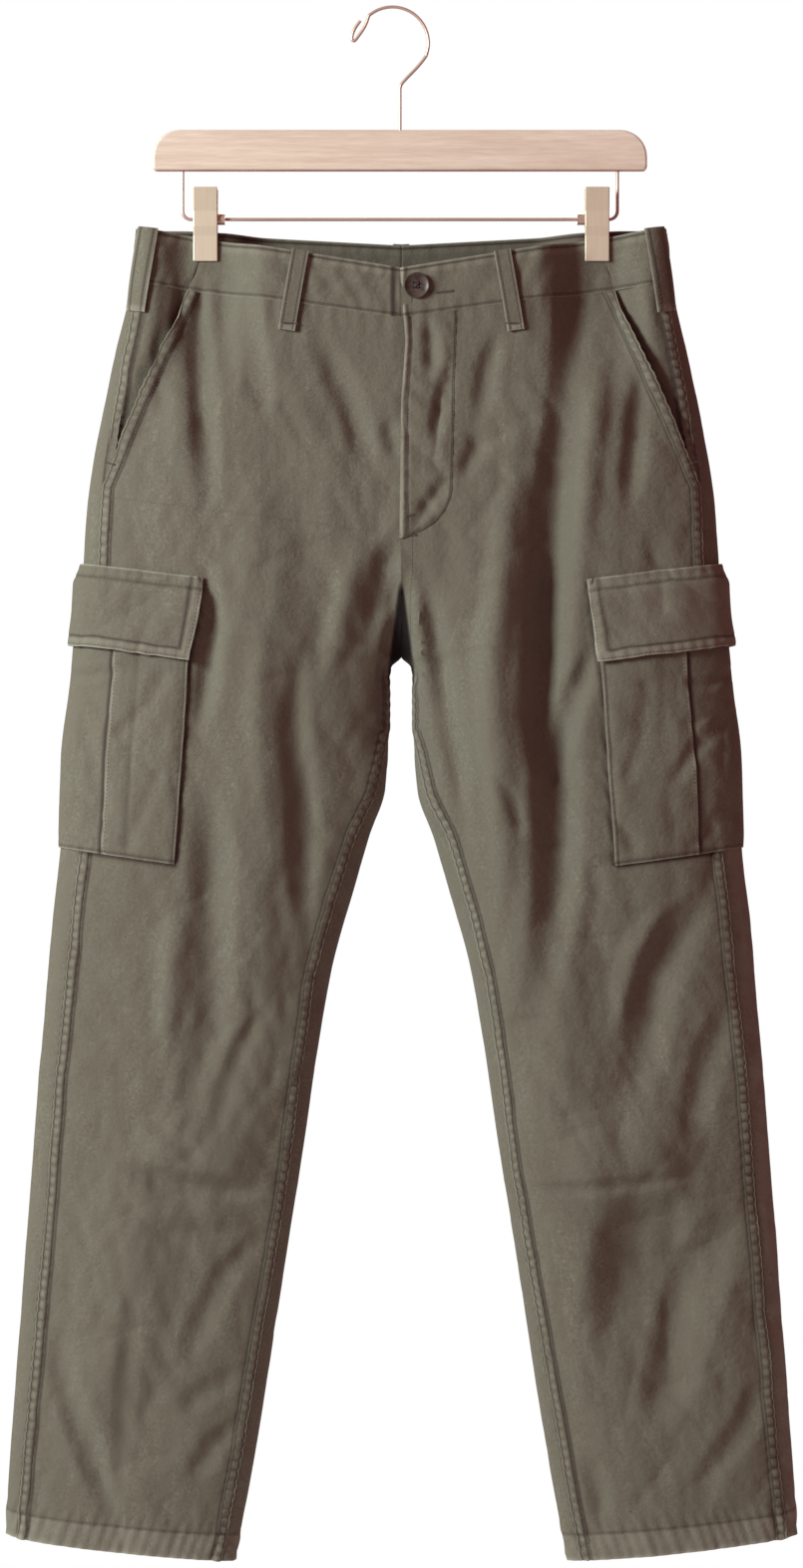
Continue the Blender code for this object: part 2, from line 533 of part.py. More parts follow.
def extruded(name, outline, low, high, look, bevel=0.0, axis="y"):
    """A flat outline in millimetres, extruded along Y (outline x, z) or X (outline y, z)."""
    work = bmesh.new()
    place = (lambda a, b: (a * MM, low * MM, b * MM)) if axis == "y" else \
        (lambda a, b: (low * MM, a * MM, b * MM))
    face = work.faces.new([work.verts.new(place(a, b)) for a, b in outline])
    grown = bmesh.ops.extrude_face_region(work, geom=[face])["geom"]
    shift = Vector((0, (high - low) * MM, 0)) if axis == "y" else Vector(((high - low) * MM, 0, 0))
    bmesh.ops.translate(work, verts=[v for v in grown if isinstance(v, bmesh.types.BMVert)], vec=shift)
    bmesh.ops.recalc_face_normals(work, faces=work.faces)
    mesh = bpy.data.meshes.new(name)
    work.to_mesh(mesh)
    work.free()
    made = add_object(name, mesh, look)
    if bevel:
        soft = made.modifiers.new("eased edge", "BEVEL")
        soft.width = bevel * MM
        soft.segments = 2
        soft.limit_method = "ANGLE"
        soft.angle_limit = math.radians(40)
    return made


def wire(name, route, radius, look):
    """A round wire along (x, z) points in millimetres, with flat capped ends."""
    curve = bpy.data.curves.new(name, "CURVE")
    curve.dimensions = "3D"
    curve.bevel_depth = radius * MM
    curve.bevel_resolution = 2
    curve.use_fill_caps = True
    line = curve.splines.new("POLY")
    line.points.add(len(route) - 1)
    for point, (x, z) in zip(line.points, route):
        point.co = (x * MM, 0, z * MM, 1)
    made = bpy.data.objects.new(name, curve)
    curve.materials.append(material(name, look))
    bpy.context.collection.objects.link(made)
    return made


def through(points, steps=3):
    """A smooth curve through a few (x, z) points."""
    given = [Vector(p) for p in points]
    given = [2 * given[0] - given[1]] + given + [2 * given[-1] - given[-2]]
    route = []
    for a, b, c, d in zip(given, given[1:], given[2:], given[3:]):
        for k in range(steps):
            s = k / steps
            route.append(0.5 * (2 * b + (c - a) * s + (2 * a - 5 * b + 4 * c - d) * s * s
                                + (3 * b - a - 3 * c + d) * s ** 3))
    return [tuple(p) for p in route] + [tuple(given[-2])]


def add_hanger():
    (x0, x1), (z0, z1) = BAR_X, BAR_Z
    foot = 3.0
    outline = arc(x0 + foot, z0 + foot, foot, 270, 180, 3) \
        + arc(x0 + BAR_SHOULDER, z1 - BAR_SHOULDER, BAR_SHOULDER, 180, 90, 8) \
        + arc(x1 - BAR_SHOULDER, z1 - BAR_SHOULDER, BAR_SHOULDER, 90, 0, 8) \
        + arc(x1 - foot, z0 + foot, foot, 0, -90, 3)
    extruded("hanger_bar", outline, -BAR_THICK / 2, BAR_THICK / 2, MAPLE, bevel=1.5)
    bow = HOOK_INSIDE + HOOK_WIRE
    stem = [(HOOK_STEM_X, z1 + SEAT), (HOOK_STEM_X, HOOK_NECK[0][1] - HOOK_WIRE)]
    wire("hanger_hook", stem + through(HOOK_NECK) + arc(0, -HOOK_INSIDE, bow, *HOOK_BOW, 20)
         + through(HOOK_TIP), HOOK_WIRE, ROSE_METAL)
    (f0, f1), bend = FRAME_X, FRAME_BEND
    frame = [(f0, z0 - SEAT)] + arc(f0 + bend, FRAME_Z + bend, bend, 180, 270, 5) \
        + arc(f1 - bend, FRAME_Z + bend, bend, 270, 360, 5) + [(f1, z0 - SEAT)]
    wire("hanger_frame", frame, FRAME_WIRE, ROSE_METAL)


def add_clips():
    """Each clip: two sprung jaws that hold the waistband, and the spring on the frame wire."""
    hold = PINCH_HALF + BAND / 2 + SEAT
    face = [(hold, CLIP_BOTTOM), (hold, CLIP_GRIP)] + [(CLIP_BORE, z) for z in CLIP_WAIST] \
        + [(CLIP_SPREAD, CLIP_TOP)]
    for name, side in SIDES.items():
        middle = CENTRE_X + side * CLIP_AT
        low, high = middle - CLIP_WIDTH / 2, middle + CLIP_WIDTH / 2
        at = Vector((middle - side * SPRING_INWARD, 0, FRAME_Z)) * MM
        for place, sign in (("front", -1), ("back", 1)):
            outline = [(sign * y, z) for y, z in face] \
                + [(sign * (y + CLIP_WALL), z) for y, z in reversed(face)]
            extruded("clip_%s_%s" % (place, name), outline, low, high, SATIN_METAL, 0.7, "x")
        bpy.ops.mesh.primitive_cylinder_add(vertices=16, radius=SPRING_RADIUS * MM,
                                            depth=SPRING_LENGTH * MM, location=at,
                                            rotation=(0, PI / 2, 0))
        spring = bpy.context.object
        spring.name = "clip_spring_" + name
        spring.data.materials.append(material(spring.name, ROSE_METAL))
        bpy.ops.mesh.primitive_cylinder_add(vertices=16, radius=(FRAME_WIRE + SEAT) * MM,
                                            depth=2 * SPRING_LENGTH * MM, location=at,
                                            rotation=(0, PI / 2, 0))
        bore = bpy.context.object
        bore.name = "clip_bore_cutter_" + name
        bore.hide_render = True
        bore.display_type = "WIRE"
        cut = spring.modifiers.new("wire bore", "BOOLEAN")
        cut.object = bore
        cut.operation = "DIFFERENCE"


def main():
    for leftover in list(bpy.data.objects):
        bpy.data.objects.remove(leftover, do_unlink=True)
    add_panels()
    add_pocket_facings()
    add_waistband()
    add_belt_loops()
    add_cargo_pockets()
    add_fly()
    add_button()
    add_hanger()
    add_clips()


main()
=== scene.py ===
"""Cargo pants on a clip hanger: the fine cloth, its seams and stitches, and every finish.

Model frame: metres, +Z up, the front faces -Y.  Tables and sizes are in millimetres.  "Right"
and "left" are the wearer's.  The cloth's form is worked out as in the part's source: `fall` is
the height of a row at the outer fold, and `turn` the angle round one half of the garment, 0 at
the centre front or inner fold, pi at the outer fold and 2 pi at the centre back.
"""
import math
from collections import namedtuple

import bmesh
import bpy
import numpy as np
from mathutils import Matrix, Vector


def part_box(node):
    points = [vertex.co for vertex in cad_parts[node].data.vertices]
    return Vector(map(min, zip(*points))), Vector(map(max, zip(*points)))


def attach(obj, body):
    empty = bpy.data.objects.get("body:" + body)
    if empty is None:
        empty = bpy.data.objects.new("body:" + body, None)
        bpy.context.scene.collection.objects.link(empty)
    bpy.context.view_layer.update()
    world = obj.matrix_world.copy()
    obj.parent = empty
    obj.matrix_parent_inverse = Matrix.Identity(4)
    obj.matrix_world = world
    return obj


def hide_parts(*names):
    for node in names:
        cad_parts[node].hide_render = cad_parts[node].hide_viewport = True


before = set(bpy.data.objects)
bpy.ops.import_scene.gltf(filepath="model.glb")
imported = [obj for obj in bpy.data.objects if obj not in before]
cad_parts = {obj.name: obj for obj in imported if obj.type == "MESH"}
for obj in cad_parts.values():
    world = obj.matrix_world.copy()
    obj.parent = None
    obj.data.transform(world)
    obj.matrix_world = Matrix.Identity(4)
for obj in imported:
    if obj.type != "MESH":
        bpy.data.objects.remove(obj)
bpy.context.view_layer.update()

MM = 0.001
PI = math.pi
RIGHT, LEFT = -1, 1
SIDES = {"right": RIGHT, "left": LEFT}
CENTRE_X = 7.0
SEED = 11

# ---- the cloth's form, as the solids have it ----------------------------------------------
SECTION_X, SECTION_Y = 2.3, 0.48
LEG_SAG, LEG_SAG_SPAN = 0.25, 700.0
CLIP_AT = 153.0
PINCH_FLAT, PINCH_REACH = 12.0, 48.0
PINCH_FULL_Z, PINCH_END_Z = -200.0, -330.0
PINCH_HALF = 1.5

Row = namedtuple("Row", "out front back wide inner deep_front deep_back shut_front shut_back "
                        "side inseam slant cargo_front cargo_back")
ROWS = (
    Row(-172, -205, -183, 206, 0, 24, 22, 0.00, 0.00, 10, 0, 152, 128, 150),
    Row(-215, -244, -223, 211, 0, 26, 26, 0.00, 0.00, 10, 0, 167, 130, 152),
    Row(-283, -314, -294, 226, 0, 28, 31, 0.00, 0.00, 12, 0, 196, 138, 158),
    Row(-360, -391, -375, 241, 0, 30, 36, 0.00, 0.00, 14, 0, 227, 145, 164),
    Row(-399, -431, -420, 246, 0, 31, 38, 0.03, 0.02, 16, 0, 240, 147, 168),
    Row(-436, -467, -462, 248, 0, 32, 38, 0.32, 0.14, 17, 0, 242, 150, 172),
    Row(-471, -506, -506, 250, 0, 33, 38, 1.00, 1.00, 18, 0, 244, 155, 176),
    Row(-481, -515, -515, 251, 8, 33, 38, 1.00, 1.00, 18, 0, 245, 157, 178),
    Row(-499, -532, -532, 253, 10, 34, 38, 1.00, 1.00, 18, 1, 247, 160, 180),
    Row(-532, -564, -564, 256, 10, 35, 38, 1.00, 1.00, 19, 4, 249, 162, 183),
    Row(-578, -610, -610, 262, 13, 35, 38, 1.00, 1.00, 20, 10, 253, 165, 187),
    Row(-617, -649, -649, 264, 26, 34, 37, 1.00, 1.00, 20, 14, 256, 168, 190),
    Row(-656, -687, -687, 266, 37, 33, 36, 1.00, 1.00, 20, 15, 260, 171, 194),
    Row(-719, -748, -748, 273, 54, 32, 34, 1.00, 1.00, 20, 15, 265, 177, 201),
    Row(-781, -809, -809, 278, 65, 30, 33, 1.00, 1.00, 19, 14, 270, 181, 207),
    Row(-851, -878, -878, 284, 75, 29, 32, 1.00, 1.00, 18, 13, 276, 186, 213),
    Row(-929, -954, -954, 290, 87, 27, 30, 1.00, 1.00, 18, 12, 283, 194, 220),
    Row(-1007, -1031, -1031, 296, 99, 26, 29, 1.00, 1.00, 17, 13, 289, 203, 227),
    Row(-1085, -1108, -1108, 302, 111, 25, 28, 1.00, 1.00, 16, 14, 296, 211, 234),
    Row(-1172, -1192, -1192, 308, 126, 23, 26, 1.00, 1.00, 14, 14, 302, 221, 242),
    Row(-1192, -1213, -1213, 309, 130, 23, 26, 1.00, 1.00, 13, 14, 303, 224, 245),
)
BAND_TOP, BAND_SEAM, MOUTH_END, FLAP_TOP, CROTCH = -172, -215, -360, -436, -471
FLAP_END, CARGO_END, HEM_FOLD, HEM_END = -499, -656, -1172, -1192
CARGO_SHIFT = 5.0
FALLS = np.array([row.out for row in ROWS], float)[::-1]

# Folds of the cloth by half and face: half width, depth, strength at the route's two ends, route.
# depth is below 0 in a trough and above 0 on a ridge; the route's points are (distance from the
# centre line, height).
FOLDS = {
    (RIGHT, "front"): (
        (14, -3.4, 0.1, 0, ((158, -212), (155, -300), (150, -368), (154, -406))),
        (16, 2.6, 0, 0, ((178, -226), (173, -300), (170, -376))),
        (14, -2.6, 0.3, 0, ((118, -228), (113, -278), (104, -330))),
        (15, -3.0, 0, 0, ((68, -252), (44, -298), (30, -345), (22, -372))),
        (10, -2.0, 0, 0, ((12, -322), (2, -356))),
        (16, -5.5, 0, 0.3, ((3, -408), (14, -452), (26, -492))),
        (15, 3.0, 0, 0, ((34, -420), (46, -470), (58, -530))),
        (17, -5.0, 0, 0, ((79, -490), (84, -560), (78, -615), (76, -670), (74, -735))),
        (14, 2.4, 0, 0, ((108, -470), (110, -560), (104, -650))),
        (22, -5.0, 0, 0.3, ((148, -590), (146, -655), (147, -722), (146, -792), (164, -850))),
        (15, 3.0, 0, 0, ((176, -690), (178, -760), (186, -830))),
        (12, -4.0, 0.3, 0, ((150, -440), (145, -486), (151, -530), (158, -575))),
        (14, -3.4, 0, 0, ((222, -900), (184, -915), (140, -921), (98, -922))),
        (16, 2.4, 0, 0, ((220, -926), (178, -940), (116, -944))),
        (15, -4.0, 0, 0.2, ((270, -1026), (260, -1079), (243, -1124), (226, -1172))),
        (15, -2.2, 0.2, 0, ((102, -952), (137, -988), (160, -1036), (172, -1064))),
        (14, -1.8, 0.2, 0, ((120, -1062), (150, -1078), (178, -1098))),
        (13, -2.6, 0.3, 0, ((126, -1102), (146, -1120), (164, -1152))),
        (12, -1.6, 0, 0.2, ((206, -990), (214, -1070), (220, -1160))),
        (10, -1.8, 0, 0, ((200, -868), (172, -884), (150, -908))),
        (11, -1.8, 0, 0, ((96, -770), (124, -812), (150, -880))),
        (44, 4.5, 0, 0, ((104, -900), (160, -896), (214, -886))),
        (50, 4.0, 0, 0, ((112, -330), (112, -470), (110, -620), (118, -760))),
        (46, 4.0, 0, 0, ((206, -860), (216, -1000), (250, -1150))),
        (13, -5.0, 0, 1, ((0, -436), (3, -476), (7, -522))),
    ),
    (LEFT, "front"): (
        (24, -9.5, 0.15, 0, ((138, -232), (131, -277), (127, -320), (119, -387), (116, -439),
            (111, -514), (110, -552), (120, -600), (120, -684), (115, -729), (107, -786), (96, -830))),
        (15, -3.5, 0, 0, ((117, -400), (112, -480), (110, -560), (118, -620))),
        (18, 4.5, 0.2, 0.2, ((92, -330), (78, -440), (70, -520), (76, -600), (84, -700))),
        (14, 3.0, 0.2, 0, ((156, -280), (146, -350), (142, -420))),
        (13, -4.0, 0.2, 0, ((188, -280), (181, -345), (176, -402))),
        (14, -5.5, 0.2, 0.4, ((149, -500), (131, -548), (120, -600))),
        (13, -4.5, 0, 0, ((16, -434), (28, -498), (35, -549), (45, -600), (53, -655))),
        (12, 2.6, 0, 0, ((4, -446), (14, -500), (24, -556))),
        (8, -2.0, 0, 0, ((74, -594), (88, -622), (96, -656))),
        (12, -2.8, 0, 0, ((78, -250), (67, -284), (60, -330))),
        (10, -2.6, 0.3, 0, ((20, -246), (24, -272), (22, -296))),
        (10, -2.6, 0, 0, ((38, -276), (31, -312), (24, -346))),
        (10, -2.8, 0, 0.3, ((36, -366), (26, -384), (12, -402))),
        (10, -2.2, 0, 0, ((66, -330), (56, -352), (44, -372))),
        (24, -5.0, 0, 0, ((242, -682), (216, -722), (198, -756), (186, -820), (172, -864))),
        (15, 2.6, 0, 0, ((212, -690), (180, -740), (166, -806))),
        (18, -3.4, 0, 0, ((254, -772), (234, -840), (224, -892))),
        (9, -1.8, 0, 0, ((92, -922), (150, -920), (200, -914), (246, -906))),
        (27, -6.2, 0, 0, ((262, -928), (240, -970), (222, -1020), (205, -1079), (186, -1122))),
        (15, -2.4, 0, 0.2, ((286, -1060), (266, -1108), (243, -1138), (232, -1172))),
        (12, -2.6, 0, 0.4, ((144, -1124), (152, -1150), (160, -1182))),
        (56, 6.0, 0, 0, ((66, -300), (72, -480), (88, -640), (112, -800), (136, -960), (160, -1150))),
        (52, 6.5, 0, 0, ((118, -900), (170, -896), (236, -888))),
        (80, -8.5, 0, 0, ((140, -984), (190, -992), (240, -992))),
        (13, -5.0, 0, 1, ((0, -436), (3, -476), (7, -522))),
    ),
    (RIGHT, "back"): (
        (15, -6.0, 0.7, 0, ((154, -228), (146, -300), (134, -372), (120, -428))),
        (14, -3.0, 0.2, 0, ((96, -232), (90, -290), (78, -340))),
        (17, -5.5, 0, 0, ((28, -470), (60, -520), (86, -590), (104, -690), (110, -740))),
        (15, -4.0, 0, 0, ((120, -470), (132, -560), (136, -650), (128, -720))),
        (14, -3.4, 0, 0, ((96, -862), (150, -892), (206, -898), (258, -884))),
        (15, -3.4, 0, 0, ((108, -900), (150, -930), (190, -950))),
        (14, -3.6, 0, 0, ((262, -940), (232, -1020), (210, -1090), (202, -1140))),
        (13, -2.6, 0, 0.2, ((140, -1040), (160, -1100), (166, -1170))),
        (16, 3.0, 0, 0, ((170, -560), (176, -680), (186, -800))),
    ),
    (LEFT, "back"): (
        (15, -6.0, 0.7, 0, ((152, -228), (150, -296), (140, -380), (128, -436))),
        (13, -2.6, 0.2, 0, ((70, -234), (66, -286), (58, -330))),
        (17, -6.0, 0, 0, ((22, -474), (52, -520), (80, -580), (110, -676), (122, -726))),
        (14, -3.6, 0, 0, ((100, -450), (118, -530), (124, -600))),
        (14, -3.6, 0, 0, ((88, -880), (140, -912), (200, -908), (250, -886))),
        (14, -2.8, 0, 0, ((118, -850), (160, -866), (214, -856))),
        (14, -3.4, 0, 0, ((250, -930), (214, -1000), (196, -1080), (186, -1136))),
        (12, -2.4, 0, 0.2, ((160, -1060), (178, -1110), (182, -1176))),
        (16, 3.0, 0, 0, ((176, -540), (184, -660), (196, -790))),
    ),
}

# ---- make-up of the cloth -----------------------------------------------------------------
FOLD_GAIN = 1.45          # how much sharper the folds are than their listed depths
CLOTH = 1.0               # thickness of one layer of twill
FELL = 4.0                # half the width of a felled seam; its edge lies this far past the seam
PUCKER_PITCH = 7.6        # spacing of the ripples that a shrunk seam draws up
GRID_FALL, GRID_TURN = 1.5, PI / 190
PANEL_STEP = 2.2          # spacing of a panel's rows
EDGE_MARKS = (0, 0.7, 1.6, 2.5, 3.6, 5.2, 6.7, 7.6, 8.5, 9.8, 11.4, 13.6)  # columns by a seam
STITCH_ROWS = (1.6, 7.6)  # a felled seam's two stitch rows, from its edge
FELL_STACK = 1.15         # how proud the felled layers stand
HEM_TURN = 1.3            # extra thickness of the turned-up hem
MOUTH_TUCK = 16           # how far the pocket facing runs on under the front panel
FLY_END = -412            # height where the centre front's overlap ends
LOOP_END = -237           # foot of the belt loops
FAR_OFF = 1e9


def slopes(values):
    """Slopes at the rows that keep a column's curve from overshooting its own values."""
    rates = np.diff(values) / np.diff(FALLS)
    both = rates[1:] + rates[:-1]
    inner = np.where(rates[1:] * rates[:-1] > 0, 2 * rates[1:] * rates[:-1]
                     / np.where(both == 0, 1, both), 0)
    return np.concatenate(([rates[0]], inner, [rates[-1]]))


COLUMNS = {name: np.array([getattr(row, name) for row in ROWS], float)[::-1]
           for name in Row._fields if name != "out"}
SLOPES = {name: slopes(values) for name, values in COLUMNS.items()}


def measure(name, fall):
    """A column of ROWS, read smoothly at any fall."""
    fall = np.asarray(fall, float)
    values, rates = COLUMNS[name], SLOPES[name]
    i = np.clip(np.searchsorted(FALLS, fall) - 1, 0, len(FALLS) - 2)
    step = FALLS[i + 1] - FALLS[i]
    s = (fall - FALLS[i]) / step
    return (values[i] * (1 + 2 * s) * (1 - s) ** 2 + rates[i] * step * s * (1 - s) ** 2
            + values[i + 1] * s * s * (3 - 2 * s) + rates[i + 1] * step * s * s * (s - 1))


def smooth(x):
    x = np.clip(x, 0, 1)
    return x * x * (3 - 2 * x)


def hump(x, half):
    """1 at 0, falling softly to 0 at `half` either way."""
    return np.clip(1 - (x / half) ** 2, 0, 1) ** 2


def turn_at(x, fall, back=False):
    wide, inner = measure("wide", fall), measure("inner", fall)
    turn = np.arccos(np.clip(1 - 2 * (x - inner) / (wide - inner), -1, 1))
    return 2 * PI - turn if back else turn


def plain_form(fall, turn):
    """The cloth without folds: distance from the centre line, depth, height."""
    wide, inner = measure("wide", fall), measure("inner", fall)
    share = (1 - np.cos(turn)) / 2
    front = np.where(fall < CROTCH, np.mod(turn, 2 * PI), turn) < PI
    x = inner + (wide - inner) * share
    shut = np.where(front, measure("shut_front", fall), measure("shut_back", fall))
    shut = np.where(share > 0.5, 1, shut)
    round_off = (1 - np.minimum(shut * np.abs(2 * share - 1) ** SECTION_X, 1)) ** SECTION_Y
    y = np.where(front, -measure("deep_front", fall), measure("deep_back", fall)) * round_off
    low = np.where(front, measure("front", fall), measure("back", fall))
    z = fall + (low - fall) * (1 - share) ** (1 - LEG_SAG * smooth((CROTCH - fall) / LEG_SAG_SPAN))
    hold = (1 - smooth((np.abs(x - CLIP_AT) - PINCH_FLAT) / (PINCH_REACH - PINCH_FLAT))) \
        * (1 - smooth((PINCH_FULL_Z - z) / (PINCH_FULL_Z - PINCH_END_Z)))
    y = y * (1 - hold) + np.where(front, -PINCH_HALF, PINCH_HALF) * hold
    return np.stack([x, y, z], -1)


def to_route(x, z, route):
    """Distance from points (x, z) to a route, and how far along it each one lies, 0 to 1."""
    route = np.array(route, float)
    spans = np.hypot(*np.diff(route, axis=0).T)
    near, along = np.full_like(x, FAR_OFF), np.zeros_like(x)
    run = 0.0
    for (ax, az), (bx, bz), span in zip(route[:-1], route[1:], spans):
        s = np.clip(((x - ax) * (bx - ax) + (z - az) * (bz - az)) / span ** 2, 0, 1)
        away = np.hypot(x - ax - s * (bx - ax), z - az - s * (bz - az))
        closer = away < near
        near = np.where(closer, away, near)
        along = np.where(closer, (run + s * span) / spans.sum(), along)
        run += span
    return near, along


def fold_height(side, face, x, z):
    """Sum of a face's folds at points (x, z)."""
    total = np.zeros_like(x)
    for half_width, depth, start, end, route in FOLDS[side, face]:
        low, high = np.min(route, 0) - half_width, np.max(route, 0) + half_width
        inside = (x > low[0]) & (x < high[0]) & (z > low[1]) & (z < high[1])
        near, along = to_route(x[inside], z[inside], route)
        strength = (start + (1 - start) * smooth(along * 3)) \
            * (end + (1 - end) * smooth((1 - along) * 3))
        reach = half_width * (0.6 + 0.4 * strength)
        total[inside] += FOLD_GAIN * depth * strength * hump(near, reach)
    return total


def ripple(distance, pitch, phase):
    """An uneven wave along a seam."""
    return np.sin(2 * PI * distance / pitch + 1.4 * np.sin(distance / 31 + phase)
                  + 0.9 * np.sin(distance / 13 + 2 * phase))


def crumple(side, x, z, face):
    """Unevenness of hanging, washed cloth: soft waves, small ripples and short thin creases."""
    draw = np.random.default_rng(SEED + side + (10 if face == "back" else 0))
    total = np.zeros_like(x)
    for shortest, longest, height, count in ((34, 120, 0.6, 14), (10, 30, 0.2, 18)):
        for _ in range(count):
            length = draw.uniform(shortest, longest)
            angle = draw.normal(0.2, 0.8)
            patch = 0.5 + 0.5 * np.sin(x / draw.uniform(25, 60) + draw.uniform(0, 6)) \
                * np.sin(z / draw.uniform(40, 90) + draw.uniform(0, 6))
            wave = np.sin(2 * PI * (x * math.cos(angle) + z * math.sin(angle)) / length
                          + draw.uniform(0, 2 * PI) + 1.5 * np.sin(z / draw.uniform(60, 140)))
            total += wave * patch * length / longest * height
    for _ in range(15):
        angle = draw.normal(0.5, 0.75) * draw.choice((-1, 1))
        run = x * math.cos(angle) + z * math.sin(angle)
        across = x * math.sin(angle) - z * math.cos(angle)
        line = np.abs(np.sin(PI * run / draw.uniform(60, 130) + draw.uniform(0, 3)
                             + 0.8 * np.sin(across / draw.uniform(30, 70))))
        patch = smooth(3 * np.sin(across / draw.uniform(18, 40) + draw.uniform(0, 6))
                       * np.sin(run / draw.uniform(50, 110) + draw.uniform(0, 6)) - 0.9)
        total -= draw.uniform(0.6, 1.5) * patch * np.clip(1 - line, 0, 1) ** 5
    return total


class Half:
    """One half's finished surface on a regular grid of falls and turns, read in between."""

    def __init__(self, side):
        self.side = side
        self.falls = np.arange(BAND_TOP + 6, HEM_END - 6, -GRID_FALL, dtype=float)
        self.turns = np.arange(0, 2 * PI + 1.0, GRID_TURN)
        fall, turn = np.meshgrid(self.falls, self.turns, indexing="ij")
        turn = np.where(fall >= CROTCH, np.minimum(turn, 2 * PI - 1e-9), turn)
        point = plain_form(fall, turn)
        normal = self.normals_of(point)
        front = np.where(fall < CROTCH, np.mod(turn, 2 * PI), turn) < PI
        rise = np.zeros_like(fall)
        for face, on_face in (("front", front), ("back", ~front)):
            toward = np.abs(np.where(on_face, normal[..., 1], 0)) ** 0.7
            rise += toward * fold_height(side, face, point[..., 0], point[..., 2])
            held = smooth((BAND_SEAM - 8 - fall) / 60)
            rise += toward * held * crumple(side, point[..., 0], point[..., 2], face)
        self.arc = np.cumsum(np.linalg.norm(np.diff(point, axis=1, prepend=point[:, :1]), axis=-1), 1)
        self.calm_point = point + self.flat(normal * rise[..., None], point)
        self.calm_normal = self.eased(self.normals_of(self.calm_point))
        rise += self.seam_ripples(fall, turn)
        self.point = point + self.flat(normal * rise[..., None], point)
        self.normal = self.normals_of(self.point)

    def flat(self, level, point):
        """A fold's displacement, kept level and off the centre line, so that the halves meet."""
        level[..., 2] = 0
        level[..., 0] *= smooth(point[..., 0] / 10)
        return level

    def eased(self, field):
        """A field averaged over its neighbours, a few times over."""
        for _ in range(5):
            for axis in (0, 1):
                ahead, behind = np.roll(field, 1, axis), np.roll(field, -1, axis)
                mean = (field * 2 + ahead + behind) / 4
                inner = (slice(1, -1), slice(None)) if axis == 0 else (slice(None), slice(1, -1))
                field = field.copy()
                field[inner] = mean[inner]
        return field / np.maximum(np.linalg.norm(field, axis=-1, keepdims=True), 1e-9)

    def normals_of(self, point):
        normal = np.cross(np.gradient(point, axis=0), np.gradient(point, axis=1))
        length = np.linalg.norm(normal, axis=-1, keepdims=True)
        return normal / np.maximum(length, 1e-9)

    def arc_at(self, falls, turns):
        """Distance round each of the grid's rows at given turns."""
        return np.array([np.interp(t, self.turns, a) for t, a in zip(turns, self.arc)])

    def seam_ripples(self, fall, turn):
        """Ripples along the felled seams, the hem and the waistband seam."""
        falls = self.falls
        rise = np.zeros_like(fall)
        side_seam = self.arc_at(falls, turn_at(measure("wide", falls) - measure("side", falls), falls))
        inseam = turn_at(measure("inner", falls) + measure("inseam", falls), falls)
        for k, (seam, top) in enumerate(((side_seam, BAND_SEAM), (self.arc_at(falls, inseam), CROTCH),
                                         (self.arc_at(falls, inseam + 2 * PI), CROTCH))):
            off = self.arc - seam[:, None]
            phase = 1.7 * min(k, 1) + self.side
            wave = ripple(fall, PUCKER_PITCH, phase)
            strong = 0.75 + 0.25 * np.sin(fall / 47 + phase)
            below = smooth((top - fall) / 30)
            if k == 0:
                below = below * (1 - smooth((FLAP_TOP - fall) / 8) * smooth((fall - CARGO_END) / 8))
            rise += below * strong * (0.6 * wave * hump(off, 7.5)
                                      + 0.42 * ripple(fall + 0.6 * np.abs(off), PUCKER_PITCH, phase)
                                      * hump(off, 17))
        slant = turn_at(np.minimum(measure("slant", falls), measure("wide", falls)), falls)
        off = self.arc - self.arc_at(falls, slant)[:, None] + 5
        rise += 0.4 * ripple(fall, 8.5, self.side) * hump(off, 7) * smooth((BAND_SEAM - fall) / 20) \
            * smooth((fall - MOUTH_END - 10) / 30)
        rope = ripple(self.arc + 0.18 * (fall - HEM_END), 9.0, self.side)
        rise += 0.55 * rope * smooth((HEM_FOLD + 16 - fall) / 14)
        rise += 0.3 * ripple(self.arc, 13.0, 2 * self.side) * hump(fall - BAND_SEAM + 6, 16)
        gather = ripple(self.arc, 18.0, 0.7 * self.side) * np.sin(self.arc / 29 + self.side) ** 2
        aside = 0.35 + 0.65 * smooth((self.arc - 60) / 60)
        rise += 1.2 * aside * gather * hump(fall - BAND_SEAM + 14, 32) * (fall < BAND_SEAM + 4)
        return rise

    def at(self, falls, turns, slip=0.0, calm=False):
        """Points and unit normals; slip moves them past the centre line, in x.

        The calm surface leaves out the ripples along seams, for what is sewn on top of them.
        """
        falls, turns, slip = np.broadcast_arrays(np.asarray(falls, float), np.asarray(turns, float),
                                                 np.asarray(slip, float))
        i = np.clip((self.falls[0] - falls) / GRID_FALL, 0, len(self.falls) - 1.001)
        j = np.clip(turns / GRID_TURN, 0, len(self.turns) - 1.001)
        i0, j0 = i.astype(int), j.astype(int)
        u, v = (i - i0)[..., None], (j - j0)[..., None]
        read = []
        fields = (self.calm_point, self.calm_normal) if calm else (self.point, self.normal)
        for field in fields:
            read.append((field[i0, j0] * (1 - u) + field[i0 + 1, j0] * u) * (1 - v)
                        + (field[i0, j0 + 1] * (1 - u) + field[i0 + 1, j0 + 1] * u) * v)
        point, normal = read
        point = point.copy()
        point[..., 0] += slip
        centre = (falls >= CROTCH) & ((turns <= 1e-6) | (turns >= 2 * PI - 1e-6))
        normal[..., 0] = np.where(centre, 0, normal[..., 0])
        return point, normal / np.maximum(np.linalg.norm(normal, axis=-1, keepdims=True), 1e-9)


HALVES = {side: Half(side) for side in SIDES.values()}


